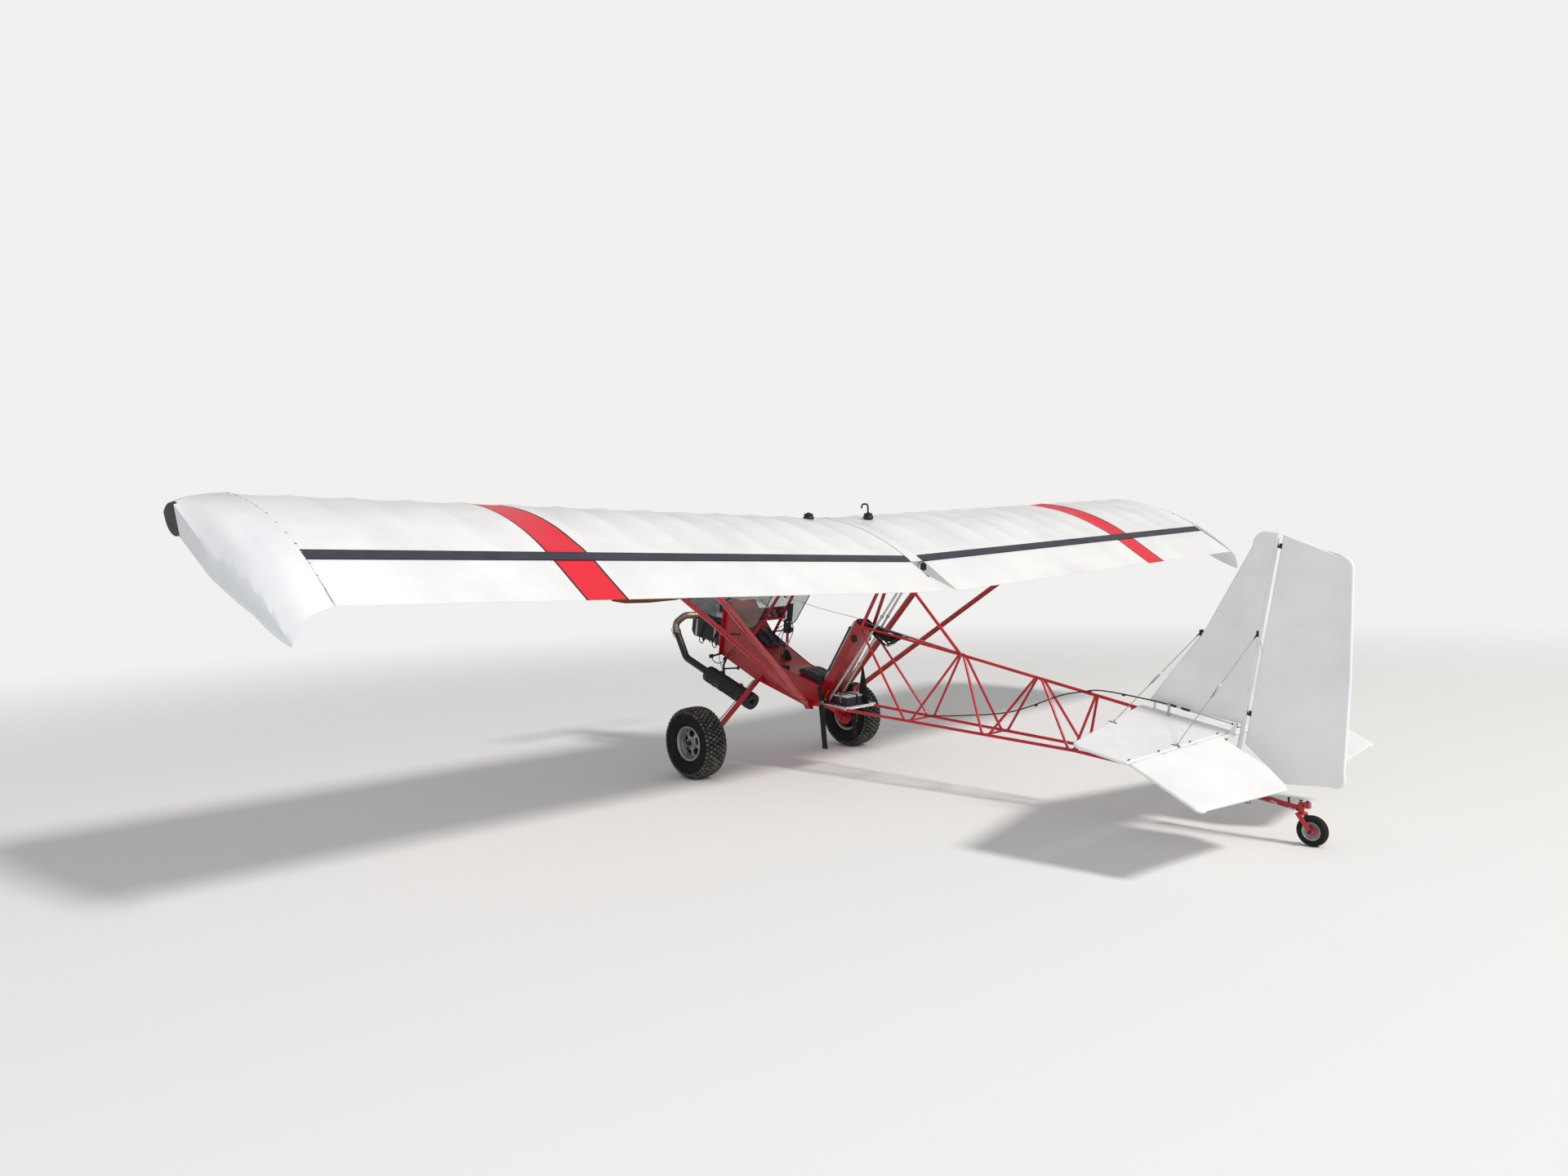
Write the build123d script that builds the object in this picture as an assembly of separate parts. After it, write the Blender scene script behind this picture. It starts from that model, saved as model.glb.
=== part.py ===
from build123d import *
import os
from math import asin, atan2, cos, pi, radians, sin, sqrt, tan

# Single-seat microlight aircraft with a tail wheel, in millimetres: +X is its left, -Y its nose, +Z up.
# Places are written as (x, aft of the main axle, above the ground) and moved by AXLE_Y to the origin,
# which lies on the ground under the middle of the craft.
AXLE_Y = -1511.0
NOSE_UP = 11.0
DIHEDRAL = 2.085
LEAN = (sin(radians(NOSE_UP)), cos(radians(NOSE_UP)))
WING_RISE = tan(radians(DIHEDRAL))

# Main gear
TRACK_HALF = 790.0
TYRE_R = 242.5
TYRE_HALF_WIDTH = 87.0
RIM_R = 109.7
BEAD_R = 110.0
AXLE_R = 8.0
BORE_R = 8.05

# Wing, with its heights taken on the centre line
WING_ROOT = 62.0
WING_END = 3960.0
HINGE = (1312.0, 1398.0)
NOSE_R = 36.0
COVE_R = 42.0
FLAPERON_ENDS = (66.0, 3948.0)
FLAPERON_EDGE = (1585.0, 1249.0)
EDGE_THICK = 3.0
CENTRE_HALF = 55.0

# Tail
RUDDER_HINGE = (3459.0, 480.0)
ELEVATOR_HINGE = (3396.0, 523.0)
TAIL_NOSE_R = 10.0
SURFACE_HALF = 10.0
FIN_GAP = 17.0
ELEVATOR_DROOP = 27.5

# Fuselage
HULL_HALF = 140.0
TUBE_R = 8.0
LONGERON_R = 9.5


def at(x, y, z):
    return Vector(x, y + AXLE_Y, z)


def face_at(x, path):
    """Closed face in the plane at x. A step of the path is (y, z) or, for an arc, (mid y, mid z, y, z)."""
    start = at(x, *path[0])
    here = start
    edges = []
    for step in path[1:]:
        there = at(x, *step[-2:])
        if len(step) == 2:
            edges.append(Edge.make_line(here, there))
        else:
            edges.append(Edge.make_three_point_arc(here, at(x, *step[:2]), there))
        here = there
    if (here - start).length > 0.001:
        edges.append(Edge.make_line(here, start))
    return Face(Wire(edges))


def slab(path, x_from, x_to, rise=0.0):
    """Side outline carried across from x_from to x_to, climbing by the rise for each millimetre."""
    foot = face_at(x_from, path).moved(Location((0, 0, x_from * rise)))
    return Solid.extrude(foot, Vector(x_to - x_from, 0, (x_to - x_from) * rise))


def tube(a, b, r):
    """Round tube or rod from a to b, each (x, y, z)."""
    start = at(*a)
    run = at(*b) - start
    on_start = (Align.CENTER, Align.CENTER, Align.MIN)
    return Plane(origin=start, z_dir=run) * Cylinder(r, run.length, align=on_start)


def bent(points, r):
    """Tube through several points, with a ball at each bend."""
    body = tube(points[0], points[1], r)
    for a, b in zip(points[1:], points[2:]):
        body += Pos(at(*a)) * Sphere(r)
        body += tube(a, b, r)
    return body


def piped(points, radii, r):
    """Pipe of radius r along straight runs joined by tangent arcs."""
    path = FilletPolyline(*[at(*p) for p in points], radius=radii)
    start = Plane(origin=path @ 0, z_dir=path % 0)
    return sweep(start * Circle(r), path=path)


def streamlined(a, b, chord, thick):
    """Strut of oval section, its long side lying fore and aft."""
    start = at(*a)
    run = at(*b) - start
    along = run.normalized()
    aft = Vector(0, 1, 0) - along * along.Y
    section = Plane(origin=start, x_dir=aft, z_dir=run) * Ellipse(chord / 2, thick / 2)
    return extrude(section, run.length, dir=along)


def ring(cx, cy, cz, profile):
    """Turned piece about an axis along X through (cx, cy, cz). The profile is (x, r) steps as in face_at."""
    start = Vector(profile[0][0], profile[0][1], 0)
    here = start
    edges = []
    for step in profile[1:]:
        there = Vector(step[-2], step[-1], 0)
        if len(step) == 2:
            edges.append(Edge.make_line(here, there))
        else:
            edges.append(Edge.make_three_point_arc(here, Vector(step[0], step[1], 0), there))
        here = there
    if (here - start).length > 0.001:
        edges.append(Edge.make_line(here, start))
    return Pos(at(cx, cy, cz)) * revolve(Face(Wire(edges)), axis=Axis.X)


def mirrored(shape):
    return shape.mirror(Plane.YZ)


def cut(shape, *tools):
    for tool in tools:
        shape = shape - tool
    return shape


def lean_back(shape):
    """Turn what is drawn level ahead of the firewall to the parked attitude, nose up."""
    return shape.rotate(Axis(at(0, *FIREWALL_FOOT), (1, 0, 0)), -NOSE_UP)


def biggest(shape):
    """What is left of a cut piece once offcuts on the far side are dropped."""
    return max(shape.solids(), key=lambda s: s.volume)


def write(name, *shapes):
    solids = []
    for shape in shapes:
        solids += shape.solids()
    export_step(Compound(children=solids) if len(solids) > 1 else solids[0], f"parts/{name}.step")


os.makedirs("parts", exist_ok=True)

# Hull, a narrow red box that the pilot sits astride, from the firewall back to the battery tray
FIREWALL_FOOT = (-446.0, 765.0)
FIREWALL_TALL = 402.0
FIREWALL_TOP = (FIREWALL_FOOT[0] + FIREWALL_TALL * LEAN[0], FIREWALL_FOOT[1] + FIREWALL_TALL * LEAN[1])
HULL_SIDE = [
    FIREWALL_FOOT,
    (-90, 606),
    (405, 455),
    (545, 457),
    (548, 592),
    (327, 659),
    (198, 701),
    (2, 810),
    (-185, 920),
    FIREWALL_TOP,
]
LUG_SIDE = [(400, 505), (484, 480), (490, 432), (424, 426), (400, 456)]
LUG_OUT = 147.0
lug = slab(LUG_SIDE, HULL_HALF - 1, LUG_OUT)
hull = slab(HULL_SIDE, -HULL_HALF, HULL_HALF) + lug + mirrored(lug)
WING_LOWER_FRONT = (420.0, 1562.0)


def wing_path():
    """Wing section ahead of the flaperon: cove lip, top, nose and flat bottom."""
    return [
        (HINGE[0], HINGE[1] + COVE_R),
        (910, 1652, 500, 1744),
        (352, 1702, 300, 1615),
        (335, 1581, *WING_LOWER_FRONT),
        (HINGE[0] - 25.8, HINGE[1] - 33.1),
        (HINGE[0] - COVE_R, HINGE[1], HINGE[0], HINGE[1] + COVE_R),
    ]


def flaperon_path():
    """Flaperon section: round nose on its hinge and straight sides that touch it."""
    back = FLAPERON_EDGE[0] - HINGE[0]
    down = HINGE[1] - FLAPERON_EDGE[1]
    slope = atan2(down, back)
    spread = asin(NOSE_R / sqrt(back**2 + down**2))
    top = slope + spread
    bottom = slope - spread
    return [
        FLAPERON_EDGE,
        (HINGE[0] + NOSE_R * sin(top), HINGE[1] + NOSE_R * cos(top)),
        (
            HINGE[0] - NOSE_R * cos(slope),
            HINGE[1] + NOSE_R * sin(slope),
            HINGE[0] - NOSE_R * sin(bottom),
            HINGE[1] - NOSE_R * cos(bottom),
        ),
        (FLAPERON_EDGE[0] - EDGE_THICK * sin(slope), FLAPERON_EDGE[1] - EDGE_THICK * cos(slope)),
    ]


wing_left = slab(wing_path(), WING_ROOT, WING_END, WING_RISE)
wing_right = mirrored(wing_left)
wing_centre = slab(wing_path(), -CENTRE_HALF, CENTRE_HALF)
flaperon_left = slab(flaperon_path(), *FLAPERON_ENDS, WING_RISE)
write("wing_left", wing_left)
write("wing_right", wing_right)
write("wing_centre", wing_centre)
write("flaperon_left", flaperon_left)
write("flaperon_right", mirrored(flaperon_left))

# Drooped tip, lofted through four sections that stand across the wing
TIP_X = [WING_END, 4080, 4150, 4200]
TIP_SECTIONS = [
    # rear edge, top mid, crown, nose mid, nose
    ((1585, 1249), (1010, 1612), (500, 1744), (352, 1702), (300, 1615)),
    ((1576, 1178), (1012, 1580), (512, 1726), (368, 1690), (316, 1618)),
    ((1562, 1045), (1026, 1515), (530, 1704), (392, 1682), (345, 1625)),
    ((1550, 980), (1040, 1395), (565, 1672), (462, 1683), (413, 1651)),
]
TIP_UNDERSIDES = [
    # lower mid, lower, lower rear
    ((335, 1581), (420, 1562), (1300, 1361)),
    ((348, 1586), (430, 1565), (1298, 1290)),
    ((376, 1594), (456, 1570), (1292, 1214)),
    ((450, 1592), (600, 1540), (1288, 1190)),
]
# In plan the tip's outer edge runs in from this place to the rear corner.
TIP_TAPER = [(4200.0, 939.0), (4120.0, 1597.0)]


def tip_face(x, over, under):
    rear, top_mid, crown, nose_mid, nose = over
    low_mid, low, low_rear = under
    edge = (rear[0] - 2, rear[1] - 4)
    flat = face_at(x, [rear, (*top_mid, *crown), (*nose_mid, *nose), (*low_mid, *low), low_rear, edge])
    return flat.moved(Location((0, 0, x * WING_RISE)))


tip_wires = [tip_face(*row).outer_wire() for row in zip(TIP_X, TIP_SECTIONS, TIP_UNDERSIDES)]
tip_left = Solid.make_loft(tip_wires, ruled=True)
beyond = [at(x, y, 900) for x, y in [*TIP_TAPER, (4300.0, 1597.0), (4300.0, 939.0)]]
beyond = Solid.extrude(Face(Wire.make_polygon(beyond, close=True)), Vector(0, 0, 1100))
tip_left = biggest(tip_left - beyond)
write("wing_tip_left", tip_left)
write("wing_tip_right", mirrored(tip_left))

# Fuel caps on top of the wings, one with a goose-neck vent
CAP_AT = (300.0, 648.0, 1748.0)
cap_seat = tube((CAP_AT[0], CAP_AT[1], 1700), (CAP_AT[0], CAP_AT[1], CAP_AT[2]), 34)
cap_top = tube(CAP_AT, (CAP_AT[0], CAP_AT[1], CAP_AT[2] + 22), 26)
cap_left = cut(cap_seat + cap_top, wing_left)
vent = piped([(300, 648, 1765), (300, 648, 1835), (300, 590, 1835), (300, 590, 1805)], 20, 6)
write("fuel_caps", cap_left, mirrored(cut(cap_seat + cap_top + vent, wing_left)))

# Lift struts from the lugs at the hull's lower rear corners to the two spars, faired tubes on round ends
STRUTS = [
    # name, lug end (x, y, z), lower end of the fairing, wing end, chord, thickness
    ("front_strut", (140.0, 442.0, 458.0), (250.0, 438.0, 541.0), (1745.0, 381.0, 1666.0), 64.0, 29.0),
    ("rear_strut", (140.0, 456.0, 439.0), (235.0, 497.0, 500.7), (1745.0, 1148.0, 1480.0), 56.0, 25.0),
]
STRUT_END_R = 9.0
for name, foot, fairing, top, chord, thick in STRUTS:
    end = tube(foot, fairing, STRUT_END_R)
    strut = biggest(cut(streamlined(fairing, top, chord, thick) + end, wing_left, hull))
    write(f"{name}_left", strut)
    write(f"{name}_right", mirrored(strut))

# Cabane tubes that hold the wing's centre over the hull and over the seat back
front_cabane = tube((100, -150, 885), (40, 425, 1580), 11)
SEAT_BACK_SIDE = [(480, 590), (542, 635), (829, 1045), (893, 1000), (606, 590), (560, 478.5), (540, 478.5)]
rear_cabane = tube((60, 880, 1000), (20, 1108, 1420), 12)
seat_back = cut(slab(SEAT_BACK_SIDE, -70, 70), hull)
front_cabane = biggest(cut(front_cabane, hull, wing_left, wing_centre))
rear_cabane = biggest(cut(rear_cabane, seat_back, wing_centre))
PANEL_FOOT = (-30.0, 1030.0)
panel_bar = cut(tube((-87, *PANEL_FOOT), (87, *PANEL_FOOT), 9), front_cabane, mirrored(front_cabane))

# Battery on a thin tray over the front ends of the lower longerons
TRAY_SIDE = [(548, 478), (805, 463), (805, 460), (548, 475)]
tray = cut(slab(TRAY_SIDE, -150, 150), hull, seat_back)
BATTERY_SIDE = [(615, 474.2), (735, 467.2), (739, 531), (619, 538)]
BATTERY_ENDS = (-136.0, 63.0)
battery = slab(BATTERY_SIDE, *BATTERY_ENDS)

# Rear fuselage of round tubes, three longerons with tubes between them
TOP_FRONT = (0.0, 1655.0, 851.0)
TOP_REAR = (0.0, 2850.0, 618.0)
LOW_FRONT = (150.0, 530.0, 466.0)
LOW_BEND = (80.0, 2502.0, 351.0)
LOW_REAR = (13.0, 3400.0, 234.0)
top_longeron = tube(TOP_FRONT, TOP_REAR, LONGERON_R)
low_longeron = bent([LOW_FRONT, LOW_BEND, LOW_REAR], LONGERON_R)
shoulder = biggest(cut(tube((58, 850, 1012), (10, 1675, 849), TUBE_R), seat_back, top_longeron))
HARNESS_BAR = (1200.0, 943.0)
harness_bar = cut(tube((-38, *HARNESS_BAR), (38, *HARNESS_BAR), 6), shoulder, mirrored(shoulder))
rear_cabane = biggest(cut(rear_cabane, shoulder))
rear_brace = tube((0, 1640, 862), (0, 1140, 1400), 10)
rear_brace = biggest(cut(rear_brace, wing_centre, top_longeron, shoulder, mirrored(shoulder)))


def on_top(y):
    share = (y - TOP_FRONT[1]) / (TOP_REAR[1] - TOP_FRONT[1])
    return TOP_FRONT[2] + share * (TOP_REAR[2] - TOP_FRONT[2])


def on_low(y):
    share = (y - LOW_FRONT[1]) / (LOW_BEND[1] - LOW_FRONT[1])
    return (
        LOW_FRONT[0] + share * (LOW_BEND[0] - LOW_FRONT[0]),
        y,
        LOW_FRONT[2] + share * (LOW_BEND[2] - LOW_FRONT[2]),
    )


SIDE_TUBES = [
    # aft place on the top longeron, aft place on the lower one
    (1645.0, 1330.0),
    (1680.0, 1873.0),
    (2201.0, 1917.0),
    (2245.0, 2458.0),
    (2600.0, 2494.0),
]
CROSS_AT = [548.0, 1308.0, 1895.0, 2476.0]
side_tubes = []
for top_y, low_y in SIDE_TUBES:
    side = tube((11, top_y, on_top(top_y)), on_low(low_y), TUBE_R)
    side_tubes.append(biggest(cut(side, top_longeron, low_longeron, shoulder)))
front_side = tube((58, 880, 978), on_low(1284.0), TUBE_R)
side_tubes.append(biggest(cut(front_side, seat_back, low_longeron, rear_cabane, shoulder)))
cross_tubes = []
for y in CROSS_AT:
    x, _, z = on_low(y)
    cross = tube((-x, y, z), (x, y, z), TUBE_R - 1)
    cross_tubes.append(biggest(cut(cross, low_longeron, mirrored(low_longeron), hull)))

# Tail: steering tube, post, fin and stabiliser
TAIL_HEAD = (0.0, 3741.0, 182.0)
HEAD_R = 16.0
KINGPIN_R = 6.0
head = tube((0, 3741, 164), (0, 3741, 206), HEAD_R)
head_bore = tube((0, 3741, 160), (0, 3741, 210), KINGPIN_R + 0.05)
tail_tube = tube((0, 3230, 255), TAIL_HEAD, 14.5) + head
tail_tube = cut(tail_tube, head_bore)
low_longeron = biggest(cut(low_longeron, tail_tube, hull))


def beside_hinge(ahead, height):
    """(y, z) at a height on the line that lies this far ahead of the rudder's hinge."""
    back = RUDDER_HINGE[0] + (height - RUDDER_HINGE[1]) * LEAN[0] / LEAN[1]
    return (back - ahead / LEAN[1], height)


post_foot = beside_hinge(28, 205)
post_top = beside_hinge(28, 1540)
tail_post = cut(tube((0, *post_foot), (0, *post_top), 11), tail_tube)
tail_post = biggest(tail_post)
low_longeron = biggest(cut(low_longeron, tail_post))
FIN_SIDE = [
    (2926, 668),
    (3252, 1069),
    (3511, 1505),
    (3535, 1560, 3600, 1577),
    beside_hinge(FIN_GAP, 1570),
    beside_hinge(FIN_GAP, 578),
    (2932, 660),
]
fin = slab(FIN_SIDE, -SURFACE_HALF, SURFACE_HALF) + tail_post + tube((0, 2960, 670), (0, 2950, 600), 7)
STABILISER_PLAN = [(0, 2862), (1000, 3066), (1049, 3095), (1061, 3377), (0, 3377)]


def stabiliser_top(y):
    return ELEVATOR_HINGE[1] - (y - ELEVATOR_HINGE[0]) * LEAN[0] / LEAN[1]


plan = [Vector(x, y + AXLE_Y, stabiliser_top(y)) for x, y in STABILISER_PLAN]
plan += [Vector(-x, y + AXLE_Y, stabiliser_top(y)) for x, y in reversed(STABILISER_PLAN) if x > 0]
stab_face = Face(Wire.make_polygon(plan, close=True))
stab_up = Vector(0, LEAN[0], LEAN[1])
stabiliser = Solid.extrude(stab_face.moved(Location(stab_up * -SURFACE_HALF)), stab_up * 2 * SURFACE_HALF)
top_longeron = cut(top_longeron, stabiliser)
stabiliser = cut(stabiliser, fin)
upright = biggest(cut(tube((31, 3290, 250), (48, 3345, 540), TUBE_R), stabiliser, low_longeron))
front_upright = tube((11, 2826, on_top(2826)), (52, 2870, 304), TUBE_R)
front_upright = biggest(cut(front_upright, top_longeron, low_longeron, stabiliser))
side_tubes += [upright, front_upright]

# Rudder, with its nose rounded about the leaning hinge
rudder_nose = tube((0, *beside_hinge(0, 484)), (0, *beside_hinge(0, 1563)), TAIL_NOSE_R)
RUDDER_SIDE = [
    beside_hinge(0, 482),
    beside_hinge(0, 1563),
    (3937, 1453),
    (3995, 1425, 4007, 1379),
    (3990, 856),
    (3955, 373),
    (3945, 315, 3889, 307),
    (3664, 296),
]
rudder = slab(RUDDER_SIDE, -SURFACE_HALF, SURFACE_HALF) + rudder_nose

# Elevator: two drooped halves on one torque tube, with its horn
droop = (cos(radians(ELEVATOR_DROOP)), sin(radians(ELEVATOR_DROOP)))
ELEVATOR_PLAN = [
    (150, 0),
    (1060, 0),
    (1061, 330),
    (1052, 355),
    (1025, 371),
    (300, 431),
    (262, 418),
    (155, 290),
]


def elevator_point(x, s):
    return Vector(x, ELEVATOR_HINGE[0] + AXLE_Y + s * droop[0], ELEVATOR_HINGE[1] - s * droop[1])


elevator_up = Vector(0, droop[1], droop[0])
elevator_face = Face(Wire.make_polygon([elevator_point(x, s) for x, s in ELEVATOR_PLAN], close=True))
elevator_face = elevator_face.moved(Location(elevator_up * -SURFACE_HALF))
elevator_half = Solid.extrude(elevator_face, elevator_up * 2 * SURFACE_HALF)
elevator_tube = tube((-1060, *ELEVATOR_HINGE), (1060, *ELEVATOR_HINGE), TAIL_NOSE_R)
HORN_SIDE = [(3386, 523), (3406, 523), (3436, 584), (3420, 590)]
elevator = elevator_half + mirrored(elevator_half) + elevator_tube + slab(HORN_SIDE, 41, 46)

# Tail brace wires from the fin to the stabiliser, each side
WIRES = [
    # fin end (y, z), stabiliser end (x, y)
    ((3229, 1050), (500, 2985)),
    ((3535, 1055), (560, 3362)),
]
tail_wires = []
for fin_end, (x, y) in WIRES:
    wire = tube((SURFACE_HALF, *fin_end), (x, y, stabiliser_top(y) + 9), 2.0)
    tail_wires.append(cut(wire, fin, stabiliser))

# Elevator's push-pull cable from the truss to a bracket on the stabiliser, and on to the horn
CONTROL_ROUTE = [
    (-60, 1308, 432),
    (-15, 2000, 520),
    (0, 2350, 645),
    (34, 2660, 702),
    (35, 2951, 672),
    (35, 3060, 655),
    (35, 3428, 579),
]
control = bent(CONTROL_ROUTE, 4)
bracket_post = tube((35, 3060, 655), (35, 3050, 595), 7)
control = cut(control + bracket_post, stabiliser, *cross_tubes)

# Gear legs, axles and brake plates
AXLE = (0.0, TYRE_R)
leg = cut(streamlined((120, -36, 634), (642, -4, 262), 46, 28), hull)
leg = leg + (Pos(at(650, 0, 250)) * Box(22, 46, 66))
axle = tube((648, *AXLE), (868, *AXLE), AXLE_R) + tube((704, *AXLE), (710, *AXLE), 70)
axle = axle + tube((661, *AXLE), (710, *AXLE), 16)
leg = leg + axle
write("gear_leg_left", leg)
write("gear_leg_right", mirrored(leg))

# Main wheels: tyre with two grooves and shoulder lugs, and a five-spoke rim with its drum
TYRE = [
    (-60, BEAD_R),
    (60, BEAD_R),
    (62, 119),
    (TYRE_HALF_WIDTH, 168, 80, 214),
    (62, 235.5),
    (28, TYRE_R),
    (28, 229),
    (20, 229),
    (20, TYRE_R),
    (-20, TYRE_R),
    (-20, 229),
    (-28, 229),
    (-28, TYRE_R),
    (-62, 235.5),
    (-80, 214),
    (-TYRE_HALF_WIDTH, 168, -62, 119),
]
TREAD_ROWS = [
    # inner and outer reach across, floor of the slots, turn in slot pitches
    (24.0, 92.0, 230.0, 0.0),
    (-92.0, -24.0, 230.0, 0.5),
]
TREAD_SLOTS = 14
SLOT_WIDE = 26.0
RIM = [
    (-52, BORE_R),
    (50, BORE_R),
    (50, 30),
    (36, 34),
    (36, 103),
    (68, 103),
    (68, 116),
    (62.5, 116),
    (62.5, RIM_R),
    (-62.5, RIM_R),
    (-62.5, 116),
    (-68, 116),
    (-68, 103),
    (26, 103),
    (26, 34),
    (-24, 34),
    (-24, 78),
    (-62, 78),
    (-62, 30),
    (-52, 30),
]
SPOKES = 5
WINDOW_R = 22.0
WINDOW_PITCH_R = 68.0
tyre = ring(TRACK_HALF, *AXLE, TYRE)
slots = []
for inner, outer, floor, turn in TREAD_ROWS:
    for step in range(TREAD_SLOTS):
        slot = Box(outer - inner, SLOT_WIDE, 30, align=(Align.CENTER, Align.CENTER, Align.MIN))
        slot = Pos((inner + outer) / 2, 0, floor) * slot
        slots.append(Pos(at(TRACK_HALF, *AXLE)) * (Rot((step + turn) * 360 / TREAD_SLOTS, 0, 0) * slot))
tyre = tyre - slots
rim = ring(TRACK_HALF, *AXLE, RIM)
for step in range(SPOKES):
    turn = 2 * pi * step / SPOKES + pi / 2
    y = AXLE[0] + WINDOW_PITCH_R * cos(turn)
    z = AXLE[1] + WINDOW_PITCH_R * sin(turn)
    rim = rim - tube((TRACK_HALF + 22, y, z), (TRACK_HALF + 40, y, z), WINDOW_R)
write("tyre_left", tyre)
write("tyre_right", mirrored(tyre))
write("rim_left", rim)
write("rim_right", mirrored(rim))

# Tail wheel in its fork
TAIL_AXLE = (3796.0, 77.5)
TAIL_TYRE = [(-20, 46), (20, 46), (25, 62, 15, 74), (0, 77.5, -15, 74), (-25, 62, -20, 46)]
TAIL_RIM = [
    (-22, 5.05),
    (22, 5.05),
    (22, 14),
    (6, 14),
    (6, 30),
    (19, 45.7),
    (-19, 45.7),
    (-6, 30),
    (-6, 14),
    (-22, 14),
]
tail_tyre = ring(0, *TAIL_AXLE, TAIL_TYRE)
tail_rim = ring(0, *TAIL_AXLE, TAIL_RIM)
FORK_HALF = 31.0
FORK_SIDE = [(3726, 156), (3757, 156), (3806, 84), (3806, 70), (3786, 70), (3780, 84)]
fork_leg = slab(FORK_SIDE, FORK_HALF, FORK_HALF + 4)
crown = slab([(3724, 156), (3759, 156), (3759, 162), (3724, 162)], -FORK_HALF - 4, FORK_HALF + 4)
kingpin = tube((0, 3741, 158), (0, 3741, 216), KINGPIN_R) + tube((0, 3741, 209), (0, 3741, 213), 14)
tail_axle = tube((-FORK_HALF - 8, *TAIL_AXLE), (FORK_HALF + 8, *TAIL_AXLE), 5)
fork = fork_leg + mirrored(fork_leg) + crown + kingpin + tail_axle
write("tail_tyre", tail_tyre)
write("tail_rim", tail_rim)
write("tail_fork", fork)

# Engine, inverted, drawn level and then leaned back with the hull
CRANK_Z = 1065.0
SHAFT_Z = 1105.0
firewall = lean_back(slab([(-450, 770), (-446.2, 770), (-446.2, 1160), (-450, 1160)], -165, 165))
bearer = slab([(-555, 800), (-450, 800), (-450, 824), (-530, 824), (-530, 958), (-555, 958)], 62, 84)
bearer = lean_back(bearer)
CRANKCASE_SIDE = [(-860, 1012), (-560, 1012), (-560, 1120), (-590, 1140), (-830, 1140), (-860, 1120)]
crankcase = lean_back(slab(CRANKCASE_SIDE, -100, 100))
CYLINDERS_Y = (-635.0, -785.0)
FINS = 4
FIN_PITCH = 12.0
SHROUD_TOP = 962.0
cylinders = []
for y in CYLINDERS_Y:
    barrel = tube((0, y, SHROUD_TOP), (0, y, 1012), 42)
    for step in range(FINS):
        z = SHROUD_TOP + 6 + step * FIN_PITCH
        barrel += Pos(at(0, y, z)) * Box(124, 124, 4)
    cylinders.append(lean_back(barrel))
SHROUD = [(-865, SHROUD_TOP), (-555, SHROUD_TOP), (-555, 850), (-585, 815), (-835, 815), (-865, 850)]
shroud = lean_back(slab(SHROUD, -85, 85))
fan = lean_back(tube((0, -559, CRANK_Z), (0, -480, CRANK_Z), 98))
gearbox = tube((0, -862, CRANK_Z), (0, -935, CRANK_Z), 70) + tube((0, -862, SHAFT_Z), (0, -945, SHAFT_Z), 62)
gearbox = lean_back(gearbox + tube((0, -940, SHAFT_Z), (0, -990.5, SHAFT_Z), 17.5))
carburettors = []
for y in CYLINDERS_Y:
    body = tube((-62.5, y, 985), (-165, y, 985), 20) + tube((-125, y, 945), (-125, y, 1030), 24)
    carburettors.append(lean_back(body + tube((-160, y, 985), (-235, y, 985), 40)))

# Propeller: two blades on a flanged hub
PROP_PLANE_Y = -1020.0
BLADES = [
    # distance from the shaft, chord, thickness, pitch in degrees
    (40.0, 62.0, 36.0, 50.0),
    (170.0, 88.0, 22.0, 34.0),
    (420.0, 92.0, 14.0, 19.0),
    (640.0, 78.0, 9.0, 13.0),
    (758.0, 40.0, 4.0, 10.0),
]


def blade_wire(reach, chord, thick, pitch):
    turned = Location(at(reach, PROP_PLANE_Y, SHAFT_Z), (pitch, 0, 0))
    lead = Vector(0, 0, chord * 0.4)
    trail = Vector(0, 0, -chord * 0.6)
    front = Vector(0, -thick * 0.75, 0)
    back = Vector(0, thick * 0.25, 0)
    wire = Wire([Edge.make_three_point_arc(lead, front, trail), Edge.make_three_point_arc(trail, back, lead)])
    return wire.moved(turned)


blade = Solid.make_loft([blade_wire(*row) for row in BLADES], ruled=True)
shaft_line = Axis(at(0, PROP_PLANE_Y, SHAFT_Z), (0, 1, 0))
hub = tube((0, -1050, SHAFT_Z), (0, -991, SHAFT_Z), 58)
propeller = lean_back(hub + blade + blade.rotate(shaft_line, 180))

# Exhaust: elbow and down pipe outside the hull's left side, and a long muffler under it
pipe = piped(
    [(95, -700, 1045), (215, -760, 1050), (262, -835, 985), (250, -720, 735), (212, -520, 632)],
    [50, 60, 70],
    26,
)
MUFFLER = ((215.0, -505.0, 622.0), (215.0, -40.0, 447.0))
muffler = tube(*MUFFLER, 60)
hanger = bent([(133, -400, 732), (184, -376, 690), (206, -345, 600)], 8)
hanger = hanger + tube((190, -368, 665), (133, -262, 672), 6)
pipe = cut(pipe, muffler, shroud, crankcase, *cylinders)
hanger = biggest(cut(hanger, hull, muffler))
pipe = biggest(pipe)
tail_pipe = cut(tube((215, -60, 455), (215, -22, 440), 16), muffler)

# Windscreen: clear sheet bent round the front of the cockpit, leaning back up to the wing
SCREEN_HALF = 197.0
SCREEN_THICK = 3.0
SCREEN_SLOPE = (0.613, 0.790)


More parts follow.
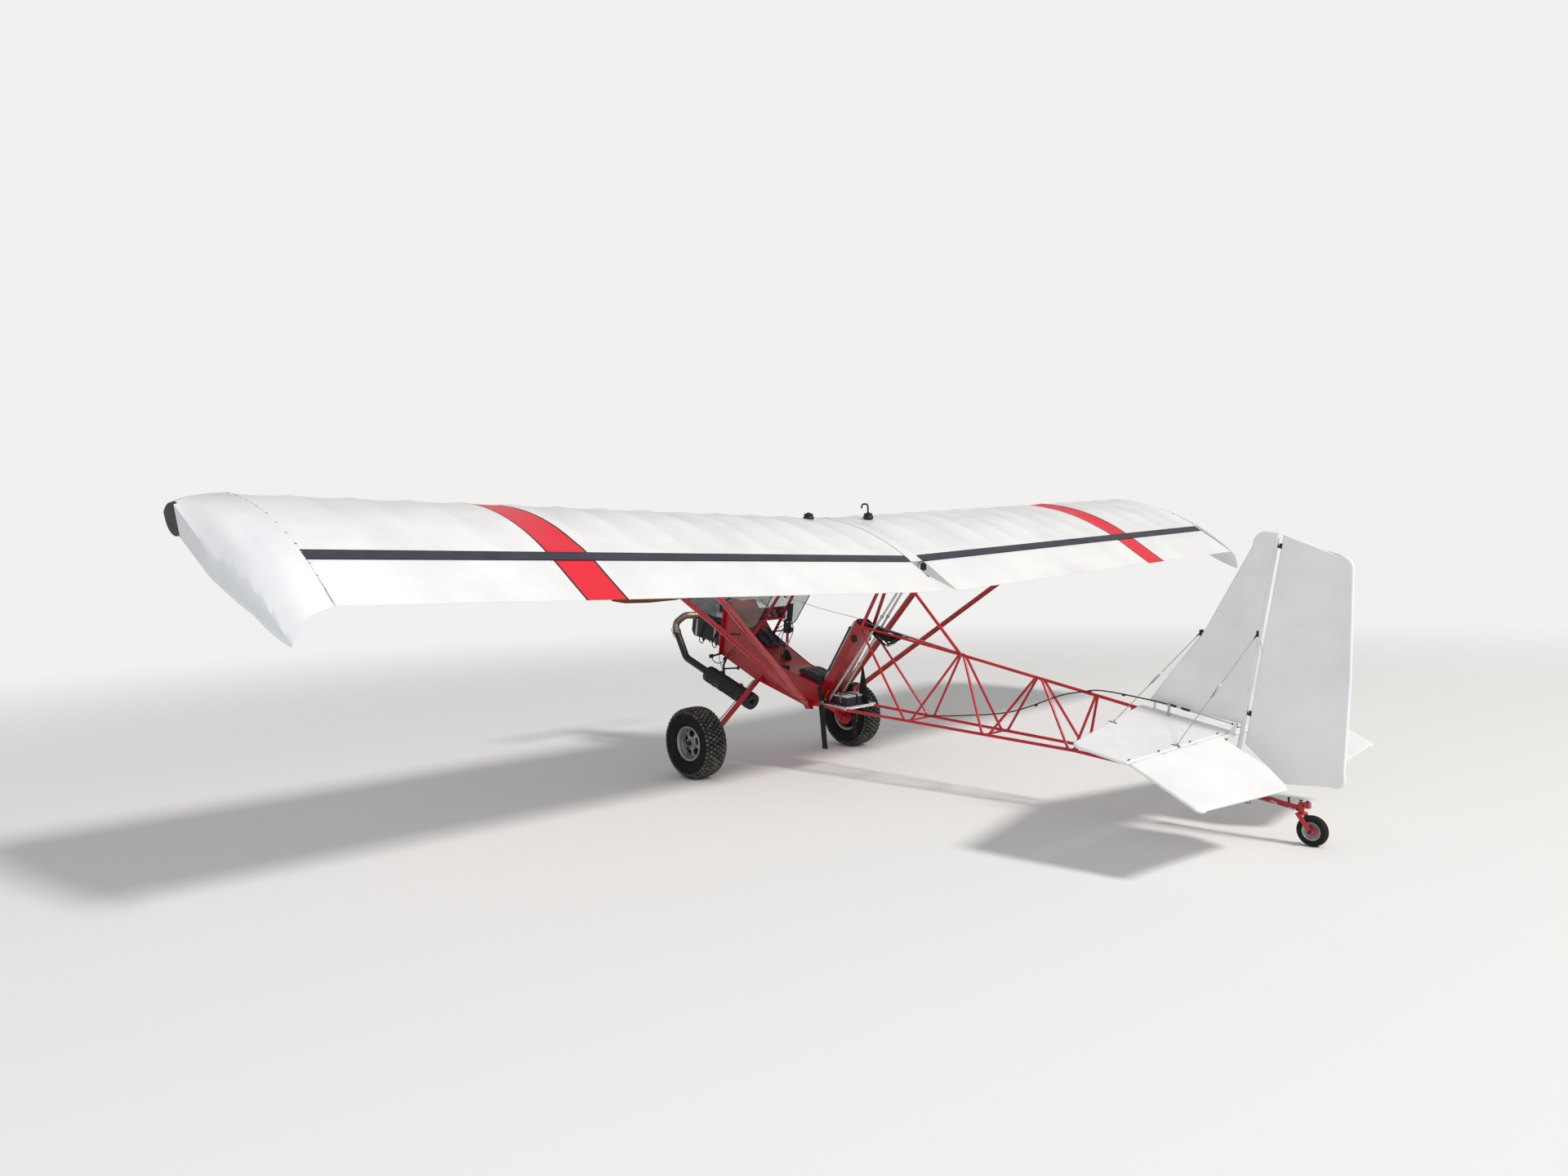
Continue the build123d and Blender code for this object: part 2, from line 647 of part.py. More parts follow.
def screen_solid(inset):
    """Prism with a curved front, running up and aft along the windscreen's rear edges."""
    half = SCREEN_HALF - inset
    base_z = 900.0
    rear = -72.0
    plan = [(-half, rear), (-half, -420), (half, -420), (half, rear)]
    corners = [at(x, y, base_z) for x, y in plan]
    edges = [
        Edge.make_line(corners[0], corners[1]),
        Edge.make_three_point_arc(corners[1], at(0, -590 + inset, base_z), corners[2]),
        Edge.make_line(corners[2], corners[3]),
        Edge.make_line(corners[3], corners[0]),
    ]
    run = Vector(0, *SCREEN_SLOPE) * 950
    return Solid.extrude(Face(Wire(edges)), run)


SCREEN_SIDE = [
    (-500, 1160),
    (-378, 1163),
    (-92, 978),
    (-26, 982, 42, 1040),
    (600, 1400),
    (420, 1556),
    (335, 1576),
    (-100, 1590),
]
screen_room = slab(SCREEN_SIDE, -300, 300)
windscreen = cut(screen_solid(0), screen_solid(SCREEN_THICK)) & screen_room
windscreen = cut(windscreen, hull, wing_left, wing_right, wing_centre, front_cabane, mirrored(front_cabane))

# Cockpit fittings
panel = slab([(-44, 1024), (-36, 1024), (-30, 1116), (-38, 1116)], -135, 135)
DIALS = [
    # x, height, radius
    (-78, 1078, 27),
    (-4, 1079, 27),
    (62, 1081, 22),
]
for x, z, r in DIALS:
    panel = panel + tube((x, -36, z), (x, -20, z), r)
panel = biggest(cut(panel, panel_bar, front_cabane, mirrored(front_cabane)))
stick = cut(tube((0, 100, 735), (0, 124, 1020), 11), hull)
stick = stick + slab([(84, 934), (142, 930), (150, 1022), (98, 1024)], -15, 15)
stick = stick + tube((0, 138, 1016), (0, 157, 1144), 24)
pedal = tube((132, -436, 772), (226, -452, 758), 7) + tube((222, -451, 759), (244, -455, 756), 15)
pedal = biggest(cut(pedal, hull, firewall))
CUSHION_SIDE = [(300, 650), (520, 580), (526, 640), (508, 656), (390, 690), (322, 704), (302, 692)]
cushion = cut(slab(CUSHION_SIDE, -104, 104), hull, seat_back)
BACK_AT = (574.0, 680.0)
BACK_RUN = (230.0, 328.6)
BACK_OUT = (-18.0, 12.6)
back_path = [
    BACK_AT,
    (BACK_AT[0] + BACK_RUN[0], BACK_AT[1] + BACK_RUN[1]),
    (BACK_AT[0] + BACK_RUN[0] + BACK_OUT[0], BACK_AT[1] + BACK_RUN[1] + BACK_OUT[1]),
    (BACK_AT[0] + BACK_OUT[0], BACK_AT[1] + BACK_OUT[1]),
]
back_cushion = cut(slab(back_path, -85, 85), seat_back, cushion)
BAG_SIDE = [(-8, 800), (-8, 862), (-34, 896), (-112, 950), (-150, 962), (-160, 890)]
bag = cut(slab(BAG_SIDE, -76, 76), hull)
belt = cut(slab([(553, 484), (601, 481), (628, 178), (582, 172)], 155, 158), low_longeron, tray)
HARNESS_SIDE = [
    (831, 1044),
    (838, 1050),
    (905, 1016),
    (1193, 952),
    (1193, 934),
    (1120, 924),
    (1076, 888),
    (1048, 892),
    (950, 958),
    (893, 1000),
]
harness = cut(slab(HARNESS_SIDE, -20, 20), seat_back)
pushrod = tube((52, 551, 480), (20, 1262, 1352), 8)
pushrod = biggest(cut(pushrod, seat_back, wing_centre, rear_cabane, tray, shoulder))

# Tie-down eyes under the wings and under the tail tube
EYE_R = 8.0
EYE_THICK = 5.0
eye_plate = slab([(380, 1585), (420, 1585), (420, 1650), (380, 1650)], 1890, 1890 + EYE_THICK)
eye_plate = biggest(cut(eye_plate, tube((1880, 400, 1607), (1900, 400, 1607), EYE_R), wing_left))
tail_eye = slab([(3452, 168), (3488, 168), (3488, 225), (3452, 225)], -EYE_THICK / 2, EYE_THICK / 2)
tail_eye = biggest(cut(tail_eye, tube((-10, 3470, 184), (10, 3470, 184), EYE_R), tail_tube))

write("hull", hull)
write("firewall", firewall + bearer + mirrored(bearer))
write("crankcase", crankcase)
write("cylinders", *[cut(c, crankcase) for c in cylinders])
write("cooling_shroud", shroud)
write("fan_housing", cut(fan, crankcase))
write("gearbox", cut(gearbox, crankcase))
write("carburettors", *[cut(c, crankcase, *cylinders) for c in carburettors])
write("propeller", propeller)
write("exhaust_pipe", pipe)
write("muffler", muffler + tail_pipe + hanger)
write("windscreen", windscreen)
write("instrument_panel", panel)
write("control_stick", stick)
write("rudder_pedals", pedal, mirrored(pedal))
write("seat_cushion", cushion)
write("back_cushion", back_cushion)
write("front_bag", bag)
write("seat_back", seat_back)
write("harness", belt, mirrored(belt), harness)
write("battery", battery)
write("battery_tray", tray)
write("front_cabane", front_cabane, mirrored(front_cabane), biggest(panel_bar))
write("rear_cabane", rear_cabane, mirrored(rear_cabane), rear_brace)
write("flaperon_pushrods", pushrod, mirrored(pushrod))
write("top_longeron", top_longeron)
write("shoulder_tubes", shoulder, mirrored(shoulder), biggest(harness_bar))
write("lower_longerons", low_longeron, mirrored(low_longeron))
write("truss_tubes", *side_tubes, *[mirrored(s) for s in side_tubes], *cross_tubes)
write("tail_tube", tail_tube)
write("fin", fin)
write("stabiliser", stabiliser)
write("rudder", rudder)
write("elevator", elevator)
write("tail_wires", *tail_wires, *[mirrored(w) for w in tail_wires])
write("elevator_control", control)
write("tie_down_left", eye_plate)
write("tie_down_right", mirrored(eye_plate))
write("tie_down_tail", tail_eye)
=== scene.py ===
import math

import bmesh
import bpy
import numpy as np
from mathutils import Matrix, Vector


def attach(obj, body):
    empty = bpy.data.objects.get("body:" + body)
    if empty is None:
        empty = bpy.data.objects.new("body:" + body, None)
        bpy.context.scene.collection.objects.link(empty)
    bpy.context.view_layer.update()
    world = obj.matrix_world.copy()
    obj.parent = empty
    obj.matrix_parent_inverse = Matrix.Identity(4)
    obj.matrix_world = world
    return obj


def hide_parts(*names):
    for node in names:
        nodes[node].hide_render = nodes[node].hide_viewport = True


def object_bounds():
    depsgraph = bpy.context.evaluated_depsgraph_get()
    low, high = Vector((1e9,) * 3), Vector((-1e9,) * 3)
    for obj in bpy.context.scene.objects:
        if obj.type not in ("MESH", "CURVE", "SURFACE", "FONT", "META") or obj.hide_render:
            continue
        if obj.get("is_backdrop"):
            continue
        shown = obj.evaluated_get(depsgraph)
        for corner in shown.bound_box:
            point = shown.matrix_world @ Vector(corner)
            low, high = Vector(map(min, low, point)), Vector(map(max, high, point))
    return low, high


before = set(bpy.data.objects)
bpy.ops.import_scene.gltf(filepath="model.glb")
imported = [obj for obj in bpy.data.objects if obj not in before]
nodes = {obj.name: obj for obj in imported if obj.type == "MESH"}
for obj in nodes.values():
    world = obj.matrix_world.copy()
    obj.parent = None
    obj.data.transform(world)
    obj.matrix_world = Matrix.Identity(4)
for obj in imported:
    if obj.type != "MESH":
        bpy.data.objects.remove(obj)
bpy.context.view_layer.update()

# Places are written as in the part: millimetres across, aft of the main axle and above the ground.
MM = 0.001
AXLE_Y = -1511.0
NOSE_UP = math.radians(11.0)
WING_RISE = math.tan(math.radians(2.085))
FIREWALL_FOOT = (-446.0, 765.0)
LEAN = (math.sin(NOSE_UP), math.cos(NOSE_UP))
LEFT, AFT, UP = (1, 0, 0), (0, 1, 0), (0, 0, 1)
SIDES = ((1, "left"), (-1, "right"))


def at(x, y, z):
    return Vector((x, y + AXLE_Y, z)) * MM


def leaned(x, y, z):
    """Place drawn level ahead of the firewall, turned to the parked attitude."""
    foot_y, foot_z = FIREWALL_FOOT
    back, up = y - foot_y, z - foot_z
    return at(x, foot_y + back * LEAN[1] + up * LEAN[0], foot_z + up * LEAN[1] - back * LEAN[0])


# Colour and shader nodes


def linear(hex_colour):
    """sRGB hex colour as linear red, green, blue and alpha."""
    parts = [int(hex_colour[i : i + 2], 16) / 255 for i in (1, 3, 5)]
    return (*[p / 12.92 if p <= 0.04045 else ((p + 0.055) / 1.055) ** 2.4 for p in parts], 1.0)


def add(tree, kind, inputs=None, **settings):
    """Add a node, set its properties, and give its inputs values or link them to sockets."""
    node = tree.nodes.new(kind)
    for key, value in settings.items():
        setattr(node, key, value)
    for key, value in (inputs or {}).items():
        if isinstance(value, bpy.types.NodeSocket):
            tree.links.new(value, node.inputs[key])
        else:
            node.inputs[key].default_value = value
    return node


def blank(name):
    """New material, its emptied node tree, and the place on the object in metres."""
    material = bpy.data.materials.new(name)
    material.use_nodes = True
    tree = material.node_tree
    tree.nodes.clear()
    return material, tree, add(tree, "ShaderNodeTexCoord").outputs["Object"]


def close(tree, shader):
    add(tree, "ShaderNodeOutputMaterial", {"Surface": shader.outputs[0]})


def noise(tree, place, size_mm, detail=3.0):
    """Noise whose patches are about this many millimetres across."""
    settings = {"Vector": place, "Scale": 1000 / size_mm, "Detail": detail, "Roughness": 0.55}
    return add(tree, "ShaderNodeTexNoise", settings).outputs["Fac"]


def spread(tree, value, low, high, to_low=0.0, to_high=1.0):
    """Value carried from one range to another and held at its ends."""
    settings = {"Value": value, "From Min": low, "From Max": high, "To Min": to_low, "To Max": to_high}
    return add(tree, "ShaderNodeMapRange", settings).outputs["Result"]


def mixed(tree, share, first, second):
    """Mix of two colours, each a hex string or a socket."""
    first, second = [linear(c) if isinstance(c, str) else c for c in (first, second)]
    return add(tree, "ShaderNodeMix", {"Factor": share, 6: first, 7: second}, data_type="RGBA").outputs[2]


def combine(tree, operation, *values):
    return add(tree, "ShaderNodeMath", dict(enumerate(values)), operation=operation).outputs[0]


def finish(name, colour, patch, patch_mm, share=(0.35, 0.75), *, grain, **shader):
    """Finish with slow patches of a second colour, scuffed roughness and a grain of this pitch and depth."""
    material, tree, place = blank(name)
    settings = {key.replace("_", " "): value for key, value in shader.items()}
    rough = settings.pop("Roughness")
    pitch, depth = grain
    patches = spread(tree, noise(tree, place, patch_mm), *share)
    relief = {"Height": noise(tree, place, pitch, 2.0), "Strength": 1.0, "Distance": depth * MM}
    settings["Base Color"] = mixed(tree, patches, colour, patch)
    scuffs = noise(tree, place, patch_mm / 4)
    settings["Roughness"] = spread(tree, scuffs, 0.3, 0.7, rough * 0.85, rough * 1.2)
    settings["Normal"] = add(tree, "ShaderNodeBump", relief).outputs[0]
    close(tree, add(tree, "ShaderNodeBsdfPrincipled", settings))
    return material


# Finishes, each named for the real one and, where it carries painted light, for that too; sizes in
# millimetres

# Polished urethane over polyester cloth: bright white with a soft sheen and greyer, slightly dusty patches.
WHITE = "#E9EAEA"
WHITE_DUSTY = "#DCDDDE"
STRIPE_RED = "#DE0C2C"
STRIPE_EDGE = "#15161A"
STRIPE_X = (2530.0, 2750.0)
STRIPE_EDGE_WIDE = 12.0
# Bands of this scale lie 2.26 mm apart. Real threads are far finer and wouldn't show.
WEAVE_SCALE = 1000 / 7.2


def doped_cloth(name, striped):
    material, tree, place = blank(name)
    colour = mixed(tree, spread(tree, noise(tree, place, 420.0, 4.0), 0.4, 0.75), WHITE, WHITE_DUSTY)
    if striped:
        across = add(tree, "ShaderNodeSeparateXYZ", {"Vector": place}).outputs["X"]
        across = combine(tree, "ABSOLUTE", across)
        middle = sum(STRIPE_X) / 2 * MM
        half = (STRIPE_X[1] - STRIPE_X[0]) / 2 * MM
        for reach, paint in ((half + STRIPE_EDGE_WIDE * MM, STRIPE_EDGE), (half, STRIPE_RED)):
            colour = mixed(tree, combine(tree, "COMPARE", across, middle, reach), colour, paint)
    threads = []
    for way in ("X", "Y"):
        bands = {"Vector": place, "Scale": WEAVE_SCALE, "Distortion": 0.4}
        threads.append(add(tree, "ShaderNodeTexWave", bands, bands_direction=way).outputs["Fac"])
    relief = {"Height": combine(tree, "MULTIPLY", *threads), "Strength": 0.4, "Distance": 0.02 * MM}
    shader = {"Base Color": colour, "IOR": 1.5, "Coat Weight": 0.15}
    shader["Roughness"] = spread(tree, noise(tree, place, 160.0), 0.3, 0.7, 0.36, 0.46)
    shader["Normal"] = add(tree, "ShaderNodeBump", relief).outputs[0]
    close(tree, add(tree, "ShaderNodeBsdfPrincipled", shader))
    return material


wing_cloth = doped_cloth("doped_polyester_striped", True)
tail_cloth = doped_cloth("doped_polyester_plain", False)

# Gel-coated glass fibre: white, glossy, a little orange peel.
# At the nose of its outer end is a black lens behind a slanted edge, both placed in metres.
LENS_FROM_X = 4.183
LENS_SLANT = 0.435
LENS_EDGE = -0.1634


def gelcoat(name):
    material, tree, place = blank(name)
    colour = mixed(tree, spread(tree, noise(tree, place, 300.0), 0.35, 0.75), "#E9EBED", "#DFE2E6")
    apart = add(tree, "ShaderNodeSeparateXYZ", {"Vector": place}).outputs
    outer = combine(tree, "GREATER_THAN", combine(tree, "ABSOLUTE", apart["X"]), LENS_FROM_X)
    back = combine(tree, "MULTIPLY_ADD", apart["Z"], LENS_SLANT, apart["Y"])
    lens = combine(tree, "MULTIPLY", outer, combine(tree, "LESS_THAN", back, LENS_EDGE))
    rough = spread(tree, noise(tree, place, 80.0), 0.3, 0.7, 0.14, 0.2)
    peel = {"Height": noise(tree, place, 9.0, 2.0), "Strength": 1.0, "Distance": 0.02 * MM}
    shader = {"Base Color": mixed(tree, lens, colour, "#0B0D10"), "IOR": 1.5}
    shader["Roughness"] = combine(tree, "MULTIPLY_ADD", lens, 0.3, rough)
    shader["Coat Weight"] = combine(tree, "MULTIPLY_ADD", lens, -0.4, 0.4)
    shader["Normal"] = add(tree, "ShaderNodeBump", peel).outputs[0]
    close(tree, add(tree, "ShaderNodeBsdfPrincipled", shader))
    return material


tip_gelcoat = gelcoat("white_gelcoat")

# Enamel on welded steel tube: deep glossy red, thin and darker where it is scuffed.
red_enamel = finish(
    "red_enamel", "#BE0F1D", "#940C18", 90.0, grain=(6.0, 0.015), Roughness=0.26, IOR=1.5, Coat_Weight=0.25
)
white_enamel = finish(
    "white_enamel", "#E4E5E6", "#D6D8DA", 90.0, grain=(6.0, 0.015), Roughness=0.25, IOR=1.5, Coat_Weight=0.4
)
red_sheet = finish(
    "red_painted_sheet", "#B2101C", "#8E0D18", 260.0,
    grain=(14.0, 0.03), Roughness=0.32, IOR=1.5, Coat_Weight=0.15,
)
# Sand-cast aluminium: dull grey with a coarse grain.
cast_alloy = finish(
    "cast_aluminium", "#8F9295", "#6E7073", 40.0, grain=(1.6, 0.12), Metallic=0.9, Roughness=0.5
)
# Mill-finish aluminium sheet: pale and faintly streaked.
sheet_alloy = finish(
    "aluminium_sheet", "#B9BCC0", "#A2A5A9", 60.0, grain=(2.0, 0.02), Metallic=1.0, Roughness=0.34
)
# Stove enamel on steel: black, dusty where heat and dirt have dulled it.
stove_black = finish(
    "stove_enamel_black", "#0E0E10", "#1E1E21", 50.0, grain=(1.5, 0.04), Roughness=0.5, IOR=1.5
)
# Moulded ABS: black, fine matt grain.
moulded_black = finish(
    "moulded_abs_black", "#101114", "#1B1D20", 70.0, grain=(0.8, 0.03), Roughness=0.55, IOR=1.5
)
# Stainless rod and wire: bright.
stainless = finish(
    "stainless_steel", "#B5B7B9", "#9C9EA0", 30.0, grain=(1.0, 0.01), Metallic=1.0, Roughness=0.25
)
# Silver wheel paint: satin grey with dust in the hollows.
wheel_silver = finish(
    "silver_wheel_paint", "#A9ABAC", "#8B8D8E", 45.0, grain=(1.2, 0.02), Metallic=0.6, Roughness=0.38
)
# Natural rubber compound: near black, dusted grey by the ground.
tyre_rubber = finish(
    "tyre_rubber", "#111112", "#24231F", 60.0, (0.45, 0.8), grain=(1.0, 0.06), Roughness=0.85, IOR=1.4
)
knob_rubber = finish(
    "dusty_tread_rubber", "#333333", "#6A6862", 40.0, (0.35, 0.65), grain=(1.0, 0.08), Roughness=0.8, IOR=1.4
)
# Varnished laminated birch: brown with long grain.
laminated_birch = finish(
    "varnished_birch", "#4A2A17", "#6B3F22", 14.0,
    grain=(5.0, 0.01), Roughness=0.22, IOR=1.5, Coat_Weight=0.8,
)
# Polyester webbing and cover cloth: black, matt, with a visible weave.
black_webbing = finish(
    "black_polyester_webbing", "#121317", "#1E2026", 25.0, grain=(1.4, 0.15), Roughness=0.85, IOR=1.45
)
# Brass plate on steel: dull yellow, browned at the edges.
brass_plate = finish(
    "brass_plated_steel", "#A98A4B", "#7D6436", 20.0, grain=(1.0, 0.02), Metallic=1.0, Roughness=0.36
)
# Moulded polypropylene: off-white, satin, a little soiled.
white_plastic = finish(
    "white_polypropylene", "#D9DADB", "#C2C3C4", 35.0, grain=(1.2, 0.02), Roughness=0.42, IOR=1.49
)
battery_case = finish(
    "speckled_polypropylene", "#202124", "#5A5B5E", 3.5, (0.5, 0.62),
    grain=(1.2, 0.05), Roughness=0.6, IOR=1.49,
)
# Cotton duck, black: dull, with threads that catch the light.
black_canvas = finish(
    "black_cotton_duck", "#17171A", "#222226", 40.0,
    grain=(1.6, 0.3), Roughness=0.8, IOR=1.45, Sheen_Weight=0.25,
)
# Coated nylon: black with a blue cast, soft sheen.
dark_nylon = finish(
    "blue_black_nylon", "#141826", "#1E2438", 34.0,
    grain=(1.8, 0.2), Roughness=0.55, IOR=1.5, Sheen_Weight=0.2,
)
# Oiled cotton gauze over wire: dark grey with a fine mesh.
filter_gauze = finish(
    "oiled_filter_gauze", "#3A3B3F", "#55504A", 6.0, grain=(1.5, 0.4), Roughness=0.7, IOR=1.45
)
grip_rubber = finish(
    "ribbed_grip_rubber", "#131315", "#1F1F22", 16.0, grain=(2.0, 0.3), Roughness=0.65, IOR=1.5
)
dial_black = finish(
    "matt_dial_black", "#0D0D0F", "#121216", 30.0, grain=(0.8, 0.01), Roughness=0.6, IOR=1.5
)
# Plastic-sheathed cable: dark brown-red outside, scuffed.
sheath_plastic = finish(
    "brown_red_cable_sheath", "#2E1719", "#45262A", 30.0, grain=(1.0, 0.02), Roughness=0.45, IOR=1.5
)
# Braided polyester line: pale, fibrous. Its pale is partly a painted highlight, standing for the light along
# the tube and webbing edges it follows.
cord_and_highlight = finish(
    "braided_cord_and_painted_highlight", "#B9B8B0", "#9A998F", 9.0, grain=(1.5, 0.3), Roughness=0.8, IOR=1.45
)
pale_rod = finish(
    "clear_anodised_tube", "#C9C6BD", "#B0ADA4", 50.0, grain=(1.0, 0.01), Metallic=0.15, Roughness=0.4
)

PAINTED_BELOW = 0.925


def heat_tinted(name):
    """Exhaust steel: bare at the elbow, silver to straw and blue, and stove black further down."""
    material, tree, place = blank(name)
    heat = noise(tree, place, 60.0, 4.0)
    colour = mixed(tree, spread(tree, heat, 0.35, 0.5), "#A8A29C", "#8C7766")
    colour = mixed(tree, spread(tree, heat, 0.56, 0.7), colour, "#5C5662")
    height = add(tree, "ShaderNodeSeparateXYZ", {"Vector": place}).outputs["Z"]
    edge = combine(tree, "MULTIPLY_ADD", noise(tree, place, 14.0), 0.02, height)
    bare = spread(tree, edge, PAINTED_BELOW, PAINTED_BELOW + 0.02)
    shader = {"Base Color": mixed(tree, bare, "#161618", colour)}
    shader["Metallic"] = combine(tree, "MULTIPLY", bare, 0.95)
    shader["Roughness"] = spread(tree, noise(tree, place, 12.0), 0.3, 0.7, 0.3, 0.5)
    close(tree, add(tree, "ShaderNodeBsdfPrincipled", shader))
    return material


def clear_screen(name):
    """Thin polycarbonate sheet: clear, with a faint smoke and fine dust."""
    material, tree, place = blank(name)
    dust = spread(tree, noise(tree, place, 90.0, 4.0), 0.3, 0.8, 0.12, 0.3)
    see_through = add(tree, "ShaderNodeBsdfTransparent", {"Color": linear("#E4E8E8")})
    film = {"Base Color": linear("#B9B8AE"), "Roughness": 0.12, "IOR": 1.58, "Alpha": 1.0}
    film = add(tree, "ShaderNodeBsdfPrincipled", film)
    close(tree, add(tree, "ShaderNodeMixShader", {0: dust, 1: see_through.outputs[0], 2: film.outputs[0]}))
    return material


SEAL_FRONT = 1262.0
SEAL_REAR = 1322.0
SEAL_EDGE_WIDE = 4.0


def slate_finish(name):
    """Vinyl tape: slate grey, satin, printed black along both edges. The same slate is painted shade in the
    left wing's root gap.
    """
    material, tree, place = blank(name)
    back = add(tree, "ShaderNodeSeparateXYZ", {"Vector": place}).outputs["Y"]
    middle = ((SEAL_FRONT + SEAL_REAR) / 2 + AXLE_Y) * MM
    half = ((SEAL_REAR - SEAL_FRONT) / 2 - SEAL_EDGE_WIDE) * MM
    slate = mixed(tree, spread(tree, noise(tree, place, 200.0), 0.35, 0.7), "#2C2D3B", "#363745")
    shader = {"Base Color": mixed(tree, combine(tree, "COMPARE", back, middle, half), "#101116", slate)}
    shader["Roughness"] = spread(tree, noise(tree, place, 60.0), 0.3, 0.7, 0.38, 0.5)
    shader["IOR"] = 1.5
    close(tree, add(tree, "ShaderNodeBsdfPrincipled", shader))
    return material


tape_and_gap_shade = slate_finish("vinyl_tape_and_painted_gap_shade")
bare_pipe = heat_tinted("heat_tinted_steel")
screen_sheet = clear_screen("clear_polycarbonate")

# Mesh making: a shape is a pair of points and faces

CREASE = math.radians(35.0)


def linked(name, data):
    """New object in the scene."""
    made = bpy.data.objects.new(name, data)
    bpy.context.scene.collection.objects.link(made)
    return made


def piece(name, shapes, material, body="airframe", replaces=(), bevel=0.0, paired=False):
    """Mesh from a shape or a list of them, cleaned, turned outwards and given its finish and its body."""
    shape = whole(shapes)
    points, faces = both_sides(shape) if paired else shape
    mesh = bpy.data.meshes.new(name)
    mesh.from_pydata([tuple(p) for p in points], [], faces)
    work = bmesh.new()
    work.from_mesh(mesh)
    bmesh.ops.remove_doubles(work, verts=work.verts, dist=0.00002)
    bmesh.ops.recalc_face_normals(work, faces=work.faces)
    if bevel:
        sharp = [e for e in work.edges if len(e.link_faces) == 2 and e.calc_face_angle(0.0) > 0.6]
        bmesh.ops.bevel(work, geom=sharp, offset=bevel * MM, segments=2, profile=0.6, affect="EDGES")
    work.to_mesh(mesh)
    work.free()
    settled(linked(name, mesh), material, body, replaces)


def left_and_right(name, shapes, material, body="airframe", replaces="", bevel=0.0):
    """A piece and its mirror image; the body and the node it replaces may hold {side} in their names."""
    shape = whole(shapes)
    for way, side in SIDES:
        own = shape if way > 0 else mirrored(shape)
        stands_for = [replaces.format(side=side)] if replaces else ()
        piece(f"{name}_{side}", own, material, body.format(side=side), replaces=stands_for, bevel=bevel)


def settled(made, material, body, replaces=()):
    """Give a finished mesh object its finish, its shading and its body."""
    made.data.materials.clear()
    made.data.materials.append(material)
    made.data.polygons.foreach_set("use_smooth", [True] * len(made.data.polygons))
    keep_edges(made)
    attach(made, body)
    if replaces:
        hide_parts(*replaces)


def keep_edges(made):
    """Shade smooth but keep sharp edges crisp."""
    work = bmesh.new()
    work.from_mesh(made.data)
    for edge in work.edges:
        edge.smooth = len(edge.link_faces) == 2 and edge.calc_face_angle(0.0) < CREASE
    work.to_mesh(made.data)
    work.free()


def frozen(made):
    """Turn the object's evaluated shape into its own mesh and drop its modifiers."""
    bpy.context.view_layer.update()
    plain = bpy.data.meshes.new_from_object(made.evaluated_get(bpy.context.evaluated_depsgraph_get()))
    made.modifiers.clear()
    made.data = plain


def band(a, b, count):
    """Faces between two rings of points, whose first points have these numbers."""
    return [(a + i, a + (i + 1) % count, b + (i + 1) % count, b + i) for i in range(count)]


def skinned(rings):
    """Skin laid over rings of equal length, with its ends filled."""
    count, rows = len(rings[0]), len(rings)
    faces = [face for row in range(rows - 1) for face in band(row * count, (row + 1) * count, count)]
    faces += [tuple(range(count)), tuple(range((rows - 1) * count, rows * count))]
    return [p for ring in rings for p in ring], faces


def rolled(rings):
    """Skin over rings that close on themselves both ways."""
    count, rows = len(rings[0]), len(rings)
    faces = [face for row in range(rows) for face in band(row * count, (row + 1) % rows * count, count)]
    return [p for ring in rings for p in ring], faces


def arc_through(a, mid, b, count):
    """Points (y, z) along the arc from a through mid to b, leaving out a."""
    (ax, ay), (bx, by), (cx, cy) = a, mid, b
    d = 2 * (ax * (by - cy) + bx * (cy - ay) + cx * (ay - by))
    ux = ((ax**2 + ay**2) * (by - cy) + (bx**2 + by**2) * (cy - ay) + (cx**2 + cy**2) * (ay - by)) / d
    uy = ((ax**2 + ay**2) * (cx - bx) + (bx**2 + by**2) * (ax - cx) + (cx**2 + cy**2) * (bx - ax)) / d
    start = math.atan2(ay - uy, ax - ux)
    middle = (math.atan2(by - uy, bx - ux) - start) % (2 * math.pi)
    turn = (math.atan2(cy - uy, cx - ux) - start) % (2 * math.pi)
    if middle > turn:
        turn -= 2 * math.pi
    r = math.hypot(ax - ux, ay - uy)
    steps = [start + turn * (i + 1) / count for i in range(count)]
    return [(ux + r * math.cos(s), uy + r * math.sin(s)) for s in steps]


def outline(path, line_step=60.0, arc_count=12, line_count=None):
    """Points (y, z) along a path whose steps are (y, z) or, for an arc, (mid y, mid z, y, z)."""
    points = [path[0]]
    for step in path[1:]:
        here = points[-1]
        if len(step) == 2:
            count = line_count or max(1, round(math.dist(here, step) / line_step))
            points += [
                (here[0] + (step[0] - here[0]) * i / count, here[1] + (step[1] - here[1]) * i / count)
                for i in range(1, count + 1)
            ]
        else:
            points += arc_through(here, step[:2], step[2:], arc_count)
    return points


def turns(count, start=0.0):
    """Angles of this many places evenly round a circle."""
    return [start + 2 * math.pi * k / count for k in range(count)]


def round_ring(centre, run, side, r, sides):
    """Places on a circle about a line that runs through its centre, in metres."""
    other = run.cross(side)
    return [centre + (side * math.cos(t) + other * math.sin(t)) * r for t in turns(sides)]


def tube_along(points, radius, sides=12):
    """Round tube through points in metres, carried along without twist; radius is one value or a list."""
    points = [Vector(p) for p in points]
    radii = radius if isinstance(radius, list) else [radius] * len(points)
    last = len(points) - 1
    side = (points[1] - points[0]).orthogonal()
    rings = []
    for i, (p, r) in enumerate(zip(points, radii)):
        run = (points[min(i + 1, last)] - points[max(i - 1, 0)]).normalized()
        side = (side - run * side.dot(run)).normalized()
        rings.append(round_ring(p, run, side, r, sides))
    return skinned(rings)


def lathe(start, run, profile, sides):
    """Turned shape about a line from start, in metres; the profile is (distance, radius) in millimetres."""
    side = run.orthogonal().normalized()
    return skinned([round_ring(start + run * s * MM, run, side, r * MM, sides) for s, r in profile])


